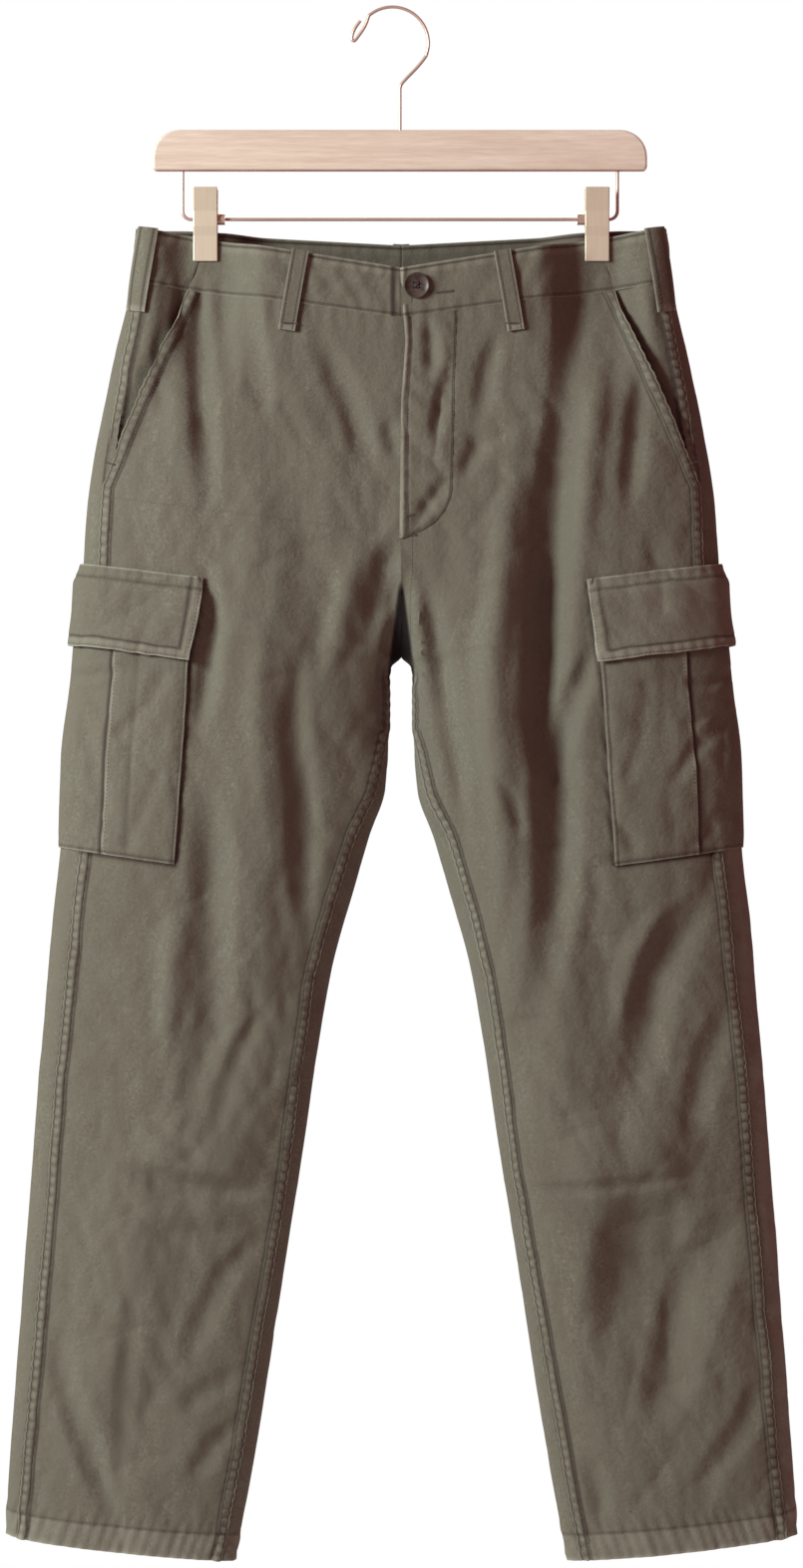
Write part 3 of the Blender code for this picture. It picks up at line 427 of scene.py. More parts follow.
def fall_through(x, z, back=False):
    """The fall of the row that passes height z at x from the centre line, on the front or back."""
    x, z = np.asarray(x, float), np.asarray(z, float)
    fall = z.copy()
    for _ in range(14):
        wide, inner = measure("wide", fall), measure("inner", fall)
        left_over = 1 - np.clip((x - inner) / (wide - inner), 0, 1)
        power = 1 - LEG_SAG * smooth((CROTCH - fall) / LEG_SAG_SPAN)
        low = measure("back" if back else "front", fall)
        fall = np.clip(z - (low - fall) * left_over ** power, HEM_END, BAND_TOP)
    return fall


# ---- meshes -------------------------------------------------------------------------------
def to_model(side, points):
    placed = np.array(points, float)
    placed[..., 0] = CENTRE_X + side * placed[..., 0]
    return placed * MM


def add_mesh(name, points, quads, shader, uv=None, wear_and_painted_light=None, smooth_below=50):
    """A piece from points in metres and quads or triangles, smooth but for its sharp edges."""
    mesh = bpy.data.meshes.new(name)
    mesh.vertices.add(len(points))
    mesh.vertices.foreach_set("co", np.asarray(points, np.float32).ravel())
    count = quads.shape[1]
    mesh.loops.add(quads.size)
    mesh.loops.foreach_set("vertex_index", quads.astype(np.int32).ravel())
    mesh.polygons.add(len(quads))
    mesh.polygons.foreach_set("loop_start", np.arange(0, quads.size, count, dtype=np.int32))
    mesh.update(calc_edges=True)
    if uv is not None:
        layer = mesh.uv_layers.new(name="cloth")
        layer.data.foreach_set("uv", np.asarray(uv, np.float32)[quads.ravel()].ravel())
    if wear_and_painted_light is not None:
        spot = mesh.attributes.new("wear_and_painted_light", "FLOAT", "POINT")
        spot.data.foreach_set("value", np.asarray(wear_and_painted_light, np.float32))
    mesh.shade_smooth()
    mesh.set_sharp_from_angle(angle=math.radians(smooth_below))
    mesh.materials.append(shader)
    made = bpy.data.objects.new(name, mesh)
    bpy.context.collection.objects.link(made)
    return made


def spans_of(grid, axis):
    return np.linalg.norm(np.diff(grid, axis=axis), axis=-1).sum(axis)


SEAMS = {}                # stitch lines by group: lists of (points, normals), in metres


def sew(group, side, outer, field, levels, axis=0, where=None):
    """Lines of stitches where a field on a grid of outer points passes each level.

    axis 0 lines run down the rows, with one crossing looked for in each row; axis 1 across.
    """
    for level in levels:
        sew_line(group, side, outer, field, level, axis, where)


def sew_line(group, side, outer, field, level, axis, where):
    grid, value = (outer, field) if axis == 0 else (outer.swapaxes(0, 1), field.T)
    allowed = np.ones(len(grid), bool) if where is None else where
    over = value >= level
    step = over[:, 1:] != over[:, :-1]
    found = step.any(1) & allowed
    j = step.argmax(1)
    rows = np.arange(len(grid))
    first, second = value[rows, j], value[rows, j + 1]
    share = np.where(found, (level - first) / np.where(second == first, 1, second - first), 0)[:, None]
    points = grid[rows, j] * (1 - share) + grid[rows, j + 1] * share
    normal = np.cross(np.gradient(outer, axis=0), np.gradient(outer, axis=1))
    normal = unit(normal if axis == 0 else normal.swapaxes(0, 1))
    normals = normal[rows, j] * side
    start = 0
    for end in range(len(grid) + 1):
        if end == len(grid) or not found[end]:
            if end - start > 2:
                SEAMS.setdefault(group, []).append((points[start:end], normals[start:end]))
            start = end + 1


STITCH_PITCH, STITCH_LENGTH, STITCH_HALF, STITCH_LIFT = 3.0, 2.35, 0.27, 0.12


def unit(field):
    return field / np.maximum(np.linalg.norm(field, axis=-1, keepdims=True), 1e-12)


def add_stitches(group):
    """The thread of a group of stitch lines, one plump little spindle to a stitch."""
    corners = []
    for points, normals in SEAMS[group]:
        run = np.concatenate(([0], np.cumsum(np.linalg.norm(np.diff(points, axis=0), axis=1)))) / MM
        if run[-1] < 2 * STITCH_PITCH:
            continue
        at = np.arange(STITCH_PITCH / 2, run[-1] - STITCH_PITCH / 2, STITCH_PITCH)
        here, ahead, up = (np.stack([np.interp(where, run, field[:, k]) for k in range(3)], 1)
                           for where, field in ((at, points), (at + 0.6, points), (at, normals)))
        along = unit(ahead - here)
        up = unit(up - (up * along).sum(1, keepdims=True) * along)
        corners.append(spindles(here + up * STITCH_LIFT * MM, along, up, STITCH_LENGTH))
    add_spindles("stitches_" + group, np.concatenate(corners))


def spindles(here, along, up, length):
    """Six corners of each stitch: its two tips and its four sides."""
    over = np.cross(up, along)
    long, half = along * length / 2 * MM, STITCH_HALF * MM
    return np.stack([here - long, here + over * half, here + up * half, here - over * half,
                     here - up * half, here + long], 1)


def add_spindles(name, corners):
    side = [(0, 2, 1), (0, 3, 2), (0, 4, 3), (0, 1, 4), (5, 1, 2), (5, 2, 3), (5, 3, 4), (5, 4, 1)]
    faces = (np.arange(len(corners))[:, None, None] * 6 + np.array(side)[None]).reshape(-1, 3)
    made = add_mesh(name, corners.reshape(-1, 3), faces, THREAD, smooth_below=80)
    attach(made, "root")


def on_cloth(side, x, z, lift):
    """Points and normals in metres at a lift over the front, from x and z in millimetres."""
    fall = fall_through(x, z)
    point, normal = HALVES[side].at(fall, turn_at(x, fall), calm=True)
    facing = normal * np.array([side, 1, 1])
    return to_model(side, point + normal * lift), facing


# Bartacks: side, distance from the centre line, height, lean in degrees, length, width, lift.
Bar = namedtuple("Bar", "side x z lean length width lift")
BUTTONHOLE = Bar(LEFT, 31, -224, 5, 18, 2.8, 2.0)
BARTACKS = (
    Bar(LEFT, 6, -398, 18, 9, 2.4, 2.6), Bar(LEFT, 8, -413, 0, 8, 2.4, 1.4),
    Bar(RIGHT, 226, -357, 20, 8, 2.2, 2.4), Bar(LEFT, 226, -357, 20, 8, 2.2, 2.4),
    Bar(RIGHT, 86, -249, 2, 11, 2.2, 3.9), Bar(LEFT, 86, -249, -2, 11, 2.2, 3.9),
    Bar(RIGHT, 157, -449, 78, 8, 2.2, 3.6), Bar(LEFT, 148, -449, 78, 8, 2.2, 3.6),
)
BAR_STITCH = 0.62         # spacing of the stitches across a bartack


def add_bars():
    """Bartacks and the buttonhole: close stitches side by side across a short bar."""
    rows = []
    for bar in (BUTTONHOLE, *BARTACKS):
        at = np.arange(-bar.length / 2, bar.length / 2, BAR_STITCH)
        lean = math.radians(bar.lean)
        x, z = bar.x + at * math.cos(lean), bar.z + at * math.sin(lean)
        here, up = on_cloth(bar.side, x, z, bar.lift)
        there, _ = on_cloth(bar.side, x - 0.8 * math.sin(lean), z + 0.8 * math.cos(lean), bar.lift)
        along = unit(there - here)
        up = unit(up - (up * along).sum(1, keepdims=True) * along)
        rows.append(spindles(here, along, up, bar.width))
    add_spindles("stitches_bartacks", np.concatenate(rows))


def cloth(name, side, falls, turns, low, high, stands_for, slip=0.0, wear_and_painted_light=0.0,
          grain=0.0, calm=False, inside=0.0):
    """A closed wall of cloth between two offsets from the half's surface.

    The per-point value for wear and painted light is above 0 where the cloth is rubbed pale and where a
    highlight is painted, and below 0 where shade is painted into grooves, hollows and shadow lines; inside
    adds to it on the wall's hidden skin, where it paints shade.
    """
    point, normal = HALVES[side].at(falls, turns, slip, calm)
    shape = point.shape[:2]
    inner, outer = (to_model(side, point + normal * np.broadcast_to(offset, shape)[..., None])
                    for offset in (low, high))
    made = wall(name, side, outer, inner, np.broadcast_to(wear_and_painted_light, shape), grain, inside)
    finish_cloth(made, outer, stands_for)
    return outer


def finish_cloth(made, outer, stands_for):
    """Hangs a piece of cloth on the shared frame and hides the solids it stands for; its flat size and area
    are worked out from its outer skin but not kept.
    """
    wide, long = (round(float(spans_of(outer, axis).max()), 4) for axis in (1, 0))
    across = np.cross(outer[1:, :-1] - outer[:-1, :-1], outer[:-1, 1:] - outer[:-1, :-1])
    area = float(np.linalg.norm(across, axis=-1).sum())
    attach(made, "root")
    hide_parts(*stands_for)
    area = min(max(area, 0.31 * wide * long), 0.999 * wide * long)


def wall(name, side, outer, inner, wear_and_painted_light, grain=0.0, inside=0.0):
    """A closed wall of twill between two grids of points."""
    rows, columns = outer.shape[:2]
    count = rows * columns
    at = np.arange(count).reshape(rows, columns)
    skin = np.stack([at[:-1, :-1].ravel(), at[1:, :-1].ravel(), at[1:, 1:].ravel(),
                     at[:-1, 1:].ravel()], 1)
    rim = np.concatenate([at[0, :], at[1:, -1], at[-1, -2::-1], at[-2:0:-1, 0]])
    ahead = np.roll(rim, -1)
    edge = np.stack([rim, ahead, ahead + count, rim + count], 1)
    quads = np.concatenate([skin, skin[:, ::-1] + count, edge])
    if side == RIGHT:
        quads = quads[:, ::-1]
    along = np.cumsum(np.linalg.norm(np.diff(outer, axis=1, prepend=outer[:, :1]), axis=-1), 1)
    down = np.cumsum(np.linalg.norm(np.diff(outer, axis=0, prepend=outer[:1]), axis=-1), 0)
    turn = math.radians(grain)
    uv = np.stack([along * math.cos(turn) - down * math.sin(turn),
                   along * math.sin(turn) + down * math.cos(turn)], -1).reshape(-1, 2)
    points = np.concatenate([outer.reshape(-1, 3), inner.reshape(-1, 3)])
    return add_mesh(name, points, quads, TWILL, np.concatenate([uv, uv]),
                    np.concatenate([wear_and_painted_light.ravel(), wear_and_painted_light.ravel() + inside]))


# ---- finishes -----------------------------------------------------------------------------
def shader_of(name, color, roughness, metallic=0.0, **sockets):
    made = bpy.data.materials.new(name)
    made.use_nodes = True
    shader = made.node_tree.nodes["Principled BSDF"]
    shader.inputs["Base Color"].default_value = (*color, 1)
    shader.inputs["Roughness"].default_value = roughness
    shader.inputs["Metallic"].default_value = metallic
    for socket, value in sockets.items():
        shader.inputs[socket.replace("_", " ")].default_value = value
    return made, made.node_tree, shader


def node(tree, kind, **settings):
    made = tree.nodes.new(kind)
    for key, value in settings.items():
        if key in made.inputs:
            made.inputs[key].default_value = value
        else:
            setattr(made, key, value)
    return made


def mixed(tree, factor, first, second, blend="MIX"):
    mix = tree.nodes.new("ShaderNodeMix")
    mix.data_type = "RGBA"
    mix.blend_type = blend
    for socket, value in zip((mix.inputs[0], mix.inputs[6], mix.inputs[7]), (factor, first, second)):
        if isinstance(value, bpy.types.NodeSocket):
            tree.links.new(value, socket)
        elif isinstance(value, tuple):
            socket.default_value = (*value, 1)
        else:
            socket.default_value = value
    return mix.outputs[2]


def ramp(tree, value, low, high):
    span = node(tree, "ShaderNodeMapRange", interpolation_type="SMOOTHSTEP")
    span.inputs["From Min"].default_value = low
    span.inputs["From Max"].default_value = high
    tree.links.new(value, span.inputs["Value"])
    return span.outputs["Result"]


def noise(tree, where, scale, detail=4.0, roughness=0.55):
    made = node(tree, "ShaderNodeTexNoise", Scale=scale, Detail=detail, Roughness=roughness)
    tree.links.new(where, made.inputs["Vector"])
    return made.outputs["Fac"]


def placed(tree, source, **mapping):
    """Object or UV coordinates, turned or stretched."""
    place = node(tree, "ShaderNodeTexCoord")
    changed = node(tree, "ShaderNodeMapping", **mapping)
    tree.links.new(place.outputs[source], changed.inputs["Vector"])
    return changed.outputs["Vector"]


def bumped(tree, height, strength, distance, under=None):
    """A relief, laid over another one where that is given."""
    made = node(tree, "ShaderNodeBump", Strength=strength, Distance=distance)
    tree.links.new(height, made.inputs["Height"])
    if under is not None:
        tree.links.new(under, made.inputs["Normal"])
    return made.outputs["Normal"]


def scaled(tree, value, factor, more=0.0):
    """value x factor + more, kept between 0 and 1."""
    made = node(tree, "ShaderNodeMath", operation="MULTIPLY_ADD", use_clamp=True)
    tree.links.new(value, made.inputs[0])
    if isinstance(factor, bpy.types.NodeSocket):
        tree.links.new(factor, made.inputs[1])
    else:
        made.inputs[1].default_value = factor
    made.inputs[2].default_value = more
    return made.outputs[0]


def darker(color, share):
    return tuple(share * part for part in color)


PAINTED_SHADE, PAINTED_DEEP_SHADE = (0.050, 0.036, 0.030), (0.010, 0.006, 0.007)  # painted shade for seams and grooves, then deeper painted shade at their bottoms


def twill(name, base, dark, worn_and_highlight):
    """Washed cotton twill: fine diagonal ribs, slubs, cloudy fading and rubbed pale edges, with painted
    highlights and painted shade mixed in from a per-point attribute.
    """
    made, tree, shader = shader_of(name, base, 0.92, Sheen_Weight=0.15, Sheen_Roughness=0.45,
                                   Sheen_Tint=(0.8, 0.78, 0.7, 1), Specular_IOR_Level=0.1)
    solid = node(tree, "ShaderNodeTexCoord").outputs["Object"]
    ribs = node(tree, "ShaderNodeTexWave", Scale=300.0, Distortion=1.2, Detail=2.0)
    ribs.inputs["Detail Scale"].default_value = 2.5
    tree.links.new(placed(tree, "UV", Rotation=(0, 0, math.radians(62))), ribs.inputs["Vector"])
    blotch = noise(tree, solid, 42.0, 4.0)
    speck = noise(tree, solid, 420.0, 2.0)
    slub = noise(tree, placed(tree, "UV", Scale=(900, 90, 1)), 1.0, 2.0)
    streak = noise(tree, placed(tree, "UV", Scale=(150, 7, 1)), 1.0, 4.0, 0.6)
    color = mixed(tree, ramp(tree, noise(tree, solid, 9.0, 5.0), 0.35, 0.68), dark, base)
    for mottle, low, high, depth, tone in ((blotch, 0.3, 0.75, 0.5, 1.0), (speck, 0.3, 0.72, 0.85, 0.7),
                                           (slub, 0.3, 0.7, 0.75, 0.85), (streak, 0.38, 0.62, 0.9, 0.85)):
        deep = mixed(tree, depth, color, darker(dark, tone))
        color = mixed(tree, ramp(tree, mottle, low, high), deep, color)
    wear_and_painted_light = node(tree, "ShaderNodeAttribute", attribute_name="wear_and_painted_light").outputs["Fac"]
    # Above 0 the attribute mixes toward the pale colour, both for rubbed edges and for painted highlights.
    color = mixed(tree, scaled(tree, wear_and_painted_light, ramp(tree, blotch, 0.1, 0.6)), color, worn_and_highlight)
    # These two mixes paint shade where the attribute is below 0, and deeper shade below -1.
    color = mixed(tree, scaled(tree, wear_and_painted_light, -1.0), color, PAINTED_SHADE)
    color = mixed(tree, scaled(tree, wear_and_painted_light, -1.0, -1.0), color, PAINTED_DEEP_SHADE)
    tree.links.new(color, shader.inputs["Base Color"])
    relief = bumped(tree, ribs.outputs["Fac"], 0.5, 0.0003)
    relief = bumped(tree, noise(tree, solid, 260.0, 3.0), 0.6, 0.0008, relief)
    relief = bumped(tree, noise(tree, solid, 48.0, 4.0), 0.5, 0.002, relief)
    tree.links.new(relief, shader.inputs["Normal"])
    return made


def thread_finish(name, color):
    made, tree, shader = shader_of(name, color, 0.75, Sheen_Weight=0.2)
    tone = noise(tree, node(tree, "ShaderNodeTexCoord").outputs["Object"], 60.0, 3.0)
    tree.links.new(mixed(tree, ramp(tree, tone, 0.3, 0.7), darker(color, 0.7), color),
                   shader.inputs["Base Color"])
    return made


def maple_finish():
    made, tree, shader = shader_of("pale maple", (0.72, 0.56, 0.45), 0.5, Coat_Weight=0.25,
                                   Coat_Roughness=0.35)
    grain = noise(tree, placed(tree, "Object", Scale=(1.0, 14.0, 26.0)), 9.0, 8.0, 0.65)
    fine = noise(tree, placed(tree, "Object", Scale=(30.0, 300.0, 600.0)), 1.6, 3.0)
    color = mixed(tree, ramp(tree, grain, 0.35, 0.66), (0.60, 0.455, 0.37), (0.69, 0.55, 0.455))
    color = mixed(tree, ramp(tree, fine, 0.35, 0.62), mixed(tree, 0.25, color, (0.4, 0.26, 0.2)), color)
    tree.links.new(color, shader.inputs["Base Color"])
    tree.links.new(bumped(tree, fine, 0.2, 0.0002), shader.inputs["Normal"])
    return made


def metal_finish(name, color, roughness, metallic, brushed):
    made, tree, shader = shader_of(name, color, roughness, metallic)
    brush = noise(tree, placed(tree, "Object", Scale=brushed), 40.0, 4.0)
    span = node(tree, "ShaderNodeMapRange")
    span.inputs["To Min"].default_value = max(roughness - 0.08, 0.05)
    span.inputs["To Max"].default_value = roughness + 0.12
    tree.links.new(brush, span.inputs["Value"])
    tree.links.new(span.outputs["Result"], shader.inputs["Roughness"])
    tree.links.new(mixed(tree, ramp(tree, brush, 0.3, 0.7), darker(color, 0.93), color),
                   shader.inputs["Base Color"])
    return made


def horn_finish():
    made, tree, shader = shader_of("dark horn", (0.05, 0.033, 0.028), 0.42, Specular_IOR_Level=0.35)
    tone = noise(tree, node(tree, "ShaderNodeTexCoord").outputs["Object"], 160.0, 5.0)
    tree.links.new(mixed(tree, ramp(tree, tone, 0.35, 0.65), (0.032, 0.02, 0.017),
                         (0.07, 0.046, 0.039)), shader.inputs["Base Color"])
    return made


TWILL = twill("olive twill", (0.192, 0.176, 0.136), (0.150, 0.130, 0.100), (0.29, 0.265, 0.215))
THREAD = thread_finish("olive thread", (0.07, 0.056, 0.045))
DARK_THREAD = thread_finish("button thread", (0.03, 0.02, 0.018))
MAPLE = maple_finish()
ROSE = metal_finish("rose wire", (0.52, 0.36, 0.29), 0.35, 0.4, (1, 1, 1))
SATIN = metal_finish("champagne clip", (0.64, 0.535, 0.41), 0.42, 0.3, (30, 1, 1))
HORN = horn_finish()


# ---- cloth pieces -------------------------------------------------------------------------
def lines(start, end, spacing=PANEL_STEP):
    """Evenly spaced values from start to end, about `spacing` apart."""
    return np.linspace(start, end, max(2, int(round(abs(end - start) / spacing)) + 1))


def twin(off, first, second=None):
    """Humps on a felled seam's two stitch rows, by distance from its edge."""
    return hump(off - STITCH_ROWS[0], first) + hump(off - STITCH_ROWS[1], second or first)


def felled(off):
    """1 on a felled seam's doubled strip."""
    return smooth((2 * FELL + 1 - off) / 1.8)


def felled_wear_and_painted_light(off, falls, side):
    """Wear and painted light on a felled seam: a pale rubbed edge, painted light and shade along its puckers,
    and painted shade in dark lines at its stitches and foot.
    """
    painted_pucker_light = 0.3 + 0.7 * ripple(falls, PUCKER_PITCH, side)
    return 0.65 * hump(off, 1.3) + 0.4 * painted_pucker_light * hump(off - 4.6, 3.0) - 0.85 * twin(off, 1.0, 1.1) \
        - 0.8 * hump(off - 9.8, 1.6)


def hem_wear_and_painted_shade(falls):
    # A pale rubbed hem edge and a paler turned-up hem as wear, with painted shade in a dark line along the
    # hem's fold.
    return 0.6 * hump(falls - HEM_END, 3) + 0.25 * (falls < HEM_FOLD) \
        - 0.5 * hump(falls - HEM_FOLD, 2.2)


def hemmed(low, falls):
    """Offsets of a panel's inner skin, thickened by the hem's turned-up layers."""
    return np.where(falls < HEM_FOLD + 1, low - HEM_TURN, low)


def mouth_gape(falls):
    """How far along the slant pocket's mouth each row is, 0 at its ends and 1 in its middle."""
    return np.sin(PI * np.clip((falls - MOUTH_END) / (BAND_SEAM - MOUTH_END), 0, 1))


def side_edge(falls, past=FELL):
    """Distance from the centre line of the front's felled edge at the side seam."""
    return measure("wide", falls) - measure("side", falls) + past


def fly_edge(z):
    """How far the left front's edge wanders over the centre line, by height."""
    return np.interp(z, (-420, -403, -313, -262, -230, -204), (-1.4, -1.3, -0.2, 3.2, 0.6, -1.3))


def set_columns(half, falls, start, end, near, far, middle):
    """Turns of a strip's columns: at set distances from its edges and evenly spread between."""
    dense = start[:, None] + (end - start)[:, None] * np.linspace(0, 1, 500)[None, :]
    arc = spread(half, falls[:, None], dense)
    turns = []
    for distances, row in zip(arc, dense):
        total = distances[-1]
        between = np.linspace(near[-1], total - far[-1], middle + 2)[1:-1]
        marks = np.concatenate([near, between, total - np.array(far)[::-1]])
        turns.append(np.interp(marks, distances, row))
    return np.array(turns)


def front_grid(side):
    falls = lines(BAND_SEAM, HEM_END)
    z = measure("front", falls)
    start = turn_at(measure("inner", falls) + np.maximum(measure("inseam", falls) - FELL, 0), falls)
    slip = np.zeros_like(falls)
    on_fly = z > FLY_END
    if side == LEFT:
        start = np.where(on_fly, turn_at(np.maximum(fly_edge(z), 0), falls), start)
        slip = np.where(on_fly, np.minimum(fly_edge(z), 0), 0)
    else:
        slip = np.where(on_fly, -6.0, 0)
    end = turn_at(np.minimum(measure("slant", falls), side_edge(falls)), falls)
    turns = set_columns(HALVES[side], falls, start, end, EDGE_MARKS, EDGE_MARKS, 58)
    return falls[:, None], turns, slip[:, None] * (np.arange(turns.shape[1]) == 0)


def add_fronts():
    for name, side in SIDES.items():
        falls, turns, slip = front_grid(side)
        half = HALVES[side]
        arc = spread(half, falls, turns)
        to_outer, to_inner = arc[:, -1:] - arc, arc - arc[:, :1]
        mouth = smooth((falls - MOUTH_END - 4) / 12)
        leg = smooth((CROTCH - 6 - falls) / 20)
        stack = FELL_STACK * np.maximum(np.maximum((1 - mouth) * felled(to_outer), leg * felled(to_inner)),
                                        0.9 * mouth * smooth((9.5 - to_outer) / 2.2))
        groove = -0.32 * (twin(to_outer, 0.9) + leg * twin(to_inner, 0.9))
        open_up = mouth * 3.4 * smooth((16 - to_outer) / 16) * mouth_gape(falls) ** 0.7
        lap = np.where(slip < 0, 0.9 * side, 0.0)
        if side == LEFT:
            lap = lap + 0.9 * (measure("front", falls) > FLY_END) * smooth((6 - to_inner) / 6)
        high = CLOTH / 2 + stack + groove + open_up + lap
        low = hemmed(-CLOTH / 2 + 0.55 * stack + open_up + lap, falls)
        wear_and_painted_light = felled_wear_and_painted_light(to_outer, falls, side) + leg * felled_wear_and_painted_light(to_inner, falls, side) + hem_wear_and_painted_shade(falls)
        point, _ = half.at(falls, turns)
        # Painted shadow on the panel in thin dark lines along the cargo pocket's front edge and foot, and
        # painted shade in the wedge where the legs part.
        past = point[..., 0] - measure("cargo_front", falls) + CARGO_SHIFT * side
        pocket_edge_shadow = hump(past + 1.0, 3.2) * (falls < FLAP_TOP) * (falls > CARGO_END)
        below = hump(falls - CARGO_END + 1.0, 3.2) * (past > -1)
        outer = cloth("front_panel_" + name, side, falls, turns, low, high, ["front_" + name],
                      slip,
                      wear_and_painted_light - np.maximum(pocket_edge_shadow, below) - 2.2 * fork_shade(point))
        sew("side_seams", side, outer, to_outer, STITCH_ROWS)
        sew("inseams", side, outer, to_inner, STITCH_ROWS, 0, falls[:, 0] < CROTCH - 14)
        sew("hems", side, outer, falls * np.ones_like(arc), [HEM_FOLD], 1)
        if side == LEFT:
            sew("fly", side, outer, to_inner, [8.6], 0, (z_front(falls) < FLY_END) & (falls[:, 0] > CROTCH))


def fork_shade(point):
    """1 in the dark wedge where the legs part."""
    half_width = 8.6 * np.clip((-441 - point[..., 2]) / 65, 0, 1.2)
    return smooth((half_width + 1.5 - point[..., 0]) / 3) * smooth((-446 - point[..., 2]) / 12) \
        * smooth((point[..., 2] + 545) / 20)


def z_front(falls):
    return measure("front", falls)[:, 0]


def spread(half, falls, turns):
    """Distance along each row of a grid from its first column."""
    point, _ = half.at(falls, turns)
    return np.cumsum(np.linalg.norm(np.diff(point, axis=1, prepend=point[:, :1]), axis=-1), 1)


def add_backs():
    for name, side in SIDES.items():
        half = HALVES[side]
        falls = lines(BAND_SEAM, HEM_END)
        start = turn_at(side_edge(falls, -2.0), falls)
        below = 2 * smooth((CROTCH - falls) / 20)
        end = 2 * PI + turn_at(measure("inner", falls) + measure("inseam", falls) + below, falls)
        turns = set_columns(half, falls, start, end, EDGE_MARKS, EDGE_MARKS, 70)
        falls = falls[:, None]
        arc = spread(half, falls, turns)
        from_side, to_inner = arc, arc[:, -1:] - arc
        under = 0.4125 * (smooth((FELL + 2.5 - from_side) / 1.2)
                        + smooth((FELL + 2.5 - to_inner) / 1.2) * (falls < CROTCH))
        lapped = side == LEFT
        rise = smooth((falls - CROTCH + 4) / 20)
        centre = lapped * rise * (0.9 * smooth((9 - to_inner) / 1.8) - 0.3 * twin(to_inner, 0.9))
        high = CLOTH / 2 - under + centre
        low = hemmed(-CLOTH / 2 - under + 0.5 * centre, falls)
        # Painted shadow in dark lines just past the fronts' felled edges; painted light on a strip of the
        # left back near the side seam, and pale rubbed edges at the centre back seam.
        sunk = hump(from_side - FELL - 2.6, 1.8) + hump(to_inner - FELL - 2.6, 1.8) * (falls < CROTCH)
        lit_strip_and_worn_edge = lapped * 0.35 * smooth((CARGO_END + 60 - falls) / 60) * hump(from_side - 18, 16) \
            + 0.6 * rise * hump(to_inner - 9 * lapped, 1.6)
        outer = cloth("back_panel_" + name, side, falls, turns, low, high, ["back_" + name],
                      0.0, hem_wear_and_painted_shade(falls) + lit_strip_and_worn_edge - 0.85 * sunk)
        sew("hems", side, outer, falls * np.ones_like(arc), [HEM_FOLD], 1)
        if lapped:
            sew("seat", side, outer, to_inner, STITCH_ROWS, 0, falls[:, 0] > CROTCH)


def add_facings():
    for name, side in SIDES.items():
        half = HALVES[side]
        falls = lines(BAND_SEAM, MOUTH_END + 4)
        mouth = turn_at(measure("slant", falls) - MOUTH_TUCK, falls)
        seam = turn_at(side_edge(falls), falls)
        turns = set_columns(half, falls, mouth, seam, (0, 1.5, 3.5), EDGE_MARKS[:8], 12)
        falls = falls[:, None]
        arc = spread(half, falls, turns)
        to_outer = arc[:, -1:] - arc
        gape = mouth_gape(falls) ** 0.6
        sunk = -1.2 * (1 - smooth((arc - 22) / 14)) - 5.2 * gape * hump(arc - 14, 15)
        stack = FELL_STACK * felled(to_outer)
        # Painted shade on the facing close under the pocket mouth, deeper where the mouth gapes.
        wear_and_painted_light = felled_wear_and_painted_light(to_outer, falls, side) - (1 - smooth((arc - 14) / 6)) * gape
        outer = cloth("slant_pocket_facing_" + name, side, falls, turns,
                      -CLOTH / 2 + sunk + 0.55 * stack,
                      CLOTH / 2 + sunk + stack - 0.32 * twin(to_outer, 0.9),
                      ["pocket_facing_" + name], 0.0, wear_and_painted_light)
        sew("side_seams", side, outer, to_outer, STITCH_ROWS, 0, falls[:, 0] > MOUTH_END + 8)


BAND_ROWS = (2.6, BAND_TOP - BAND_SEAM - 2.2)   # the band's stitch rows, below its top


def band_wall(name, side, falls, turns, slip=0.0):
    """A stretch of waistband: proud of the panels, rolled at its edges, stitched top and foot."""
    arc = spread(HALVES[side], falls, turns)
    down = (BAND_TOP - falls) * np.ones_like(arc)
    deep = BAND_TOP - BAND_SEAM
    top_row, foot_row = BAND_ROWS
    swell = 0.4 * ripple(arc, 12.5, side + 0.4) * (hump(down - 5, 9) + 0.8 * hump(down - deep + 5, 11))
    bow = np.sin(PI * down / deep)
    swell = swell + 0.55 * bow * ripple(arc + 0.6 * down, 27.0, 2.2 * side) \
        + 0.4 * bow * ripple(arc - 0.9 * down, 41.0, 1.2 * side)
    held = hump(arc - np.clip(clip_arc(side, falls, turns, arc), 0, 1e4), 26) * smooth((32 - down) / 10)
    swell = swell * (1 - held)
    roll = -0.55 * (hump(down, 1.5) + hump(down - deep, 1.5)) \
        - 0.4 * (hump(arc, 1.4) + hump(arc[:, -1:] - arc, 1.4))
    groove = -0.35 * (hump(down - top_row, 1.1) + hump(down - foot_row, 1.1))
    # Pale rolled edges are wear; the dark stitch rows are painted shade, the left front's pale overlap edge
    # is a painted highlight with painted shadow beyond it, and the right front gets painted shadow under the
    # overlap.
    wear_and_painted_light = 0.8 * hump(down, 1.8) + 0.5 * hump(down - deep, 1.6) + 0.2 * hump(down - 6, 4) \
        - 0.9 * (hump(down - top_row, 1.3) + hump(down - foot_row, 1.3))
    if "front" in name and side == LEFT:
        wear_and_painted_light = wear_and_painted_light + 0.7 * hump(arc - 0.6, 1.8) - 0.8 * hump(arc - 3.6, 1.5)
    elif "front" in name:
        wear_and_painted_light = wear_and_painted_light - 1.2 * hump(arc - 6.5, 3.5)
    # inside=-0.4 paints shade on the band's hidden inner skin.
    outer = cloth(name, side, falls, turns, -1.3 - roll + 0.4 * swell, 1.3 + groove + 0.9 * swell + roll,
                  [name.replace("_piece", "")], slip, wear_and_painted_light, 90.0, inside=-0.4)
    sew("waistband", side, outer, down, BAND_ROWS, 1)


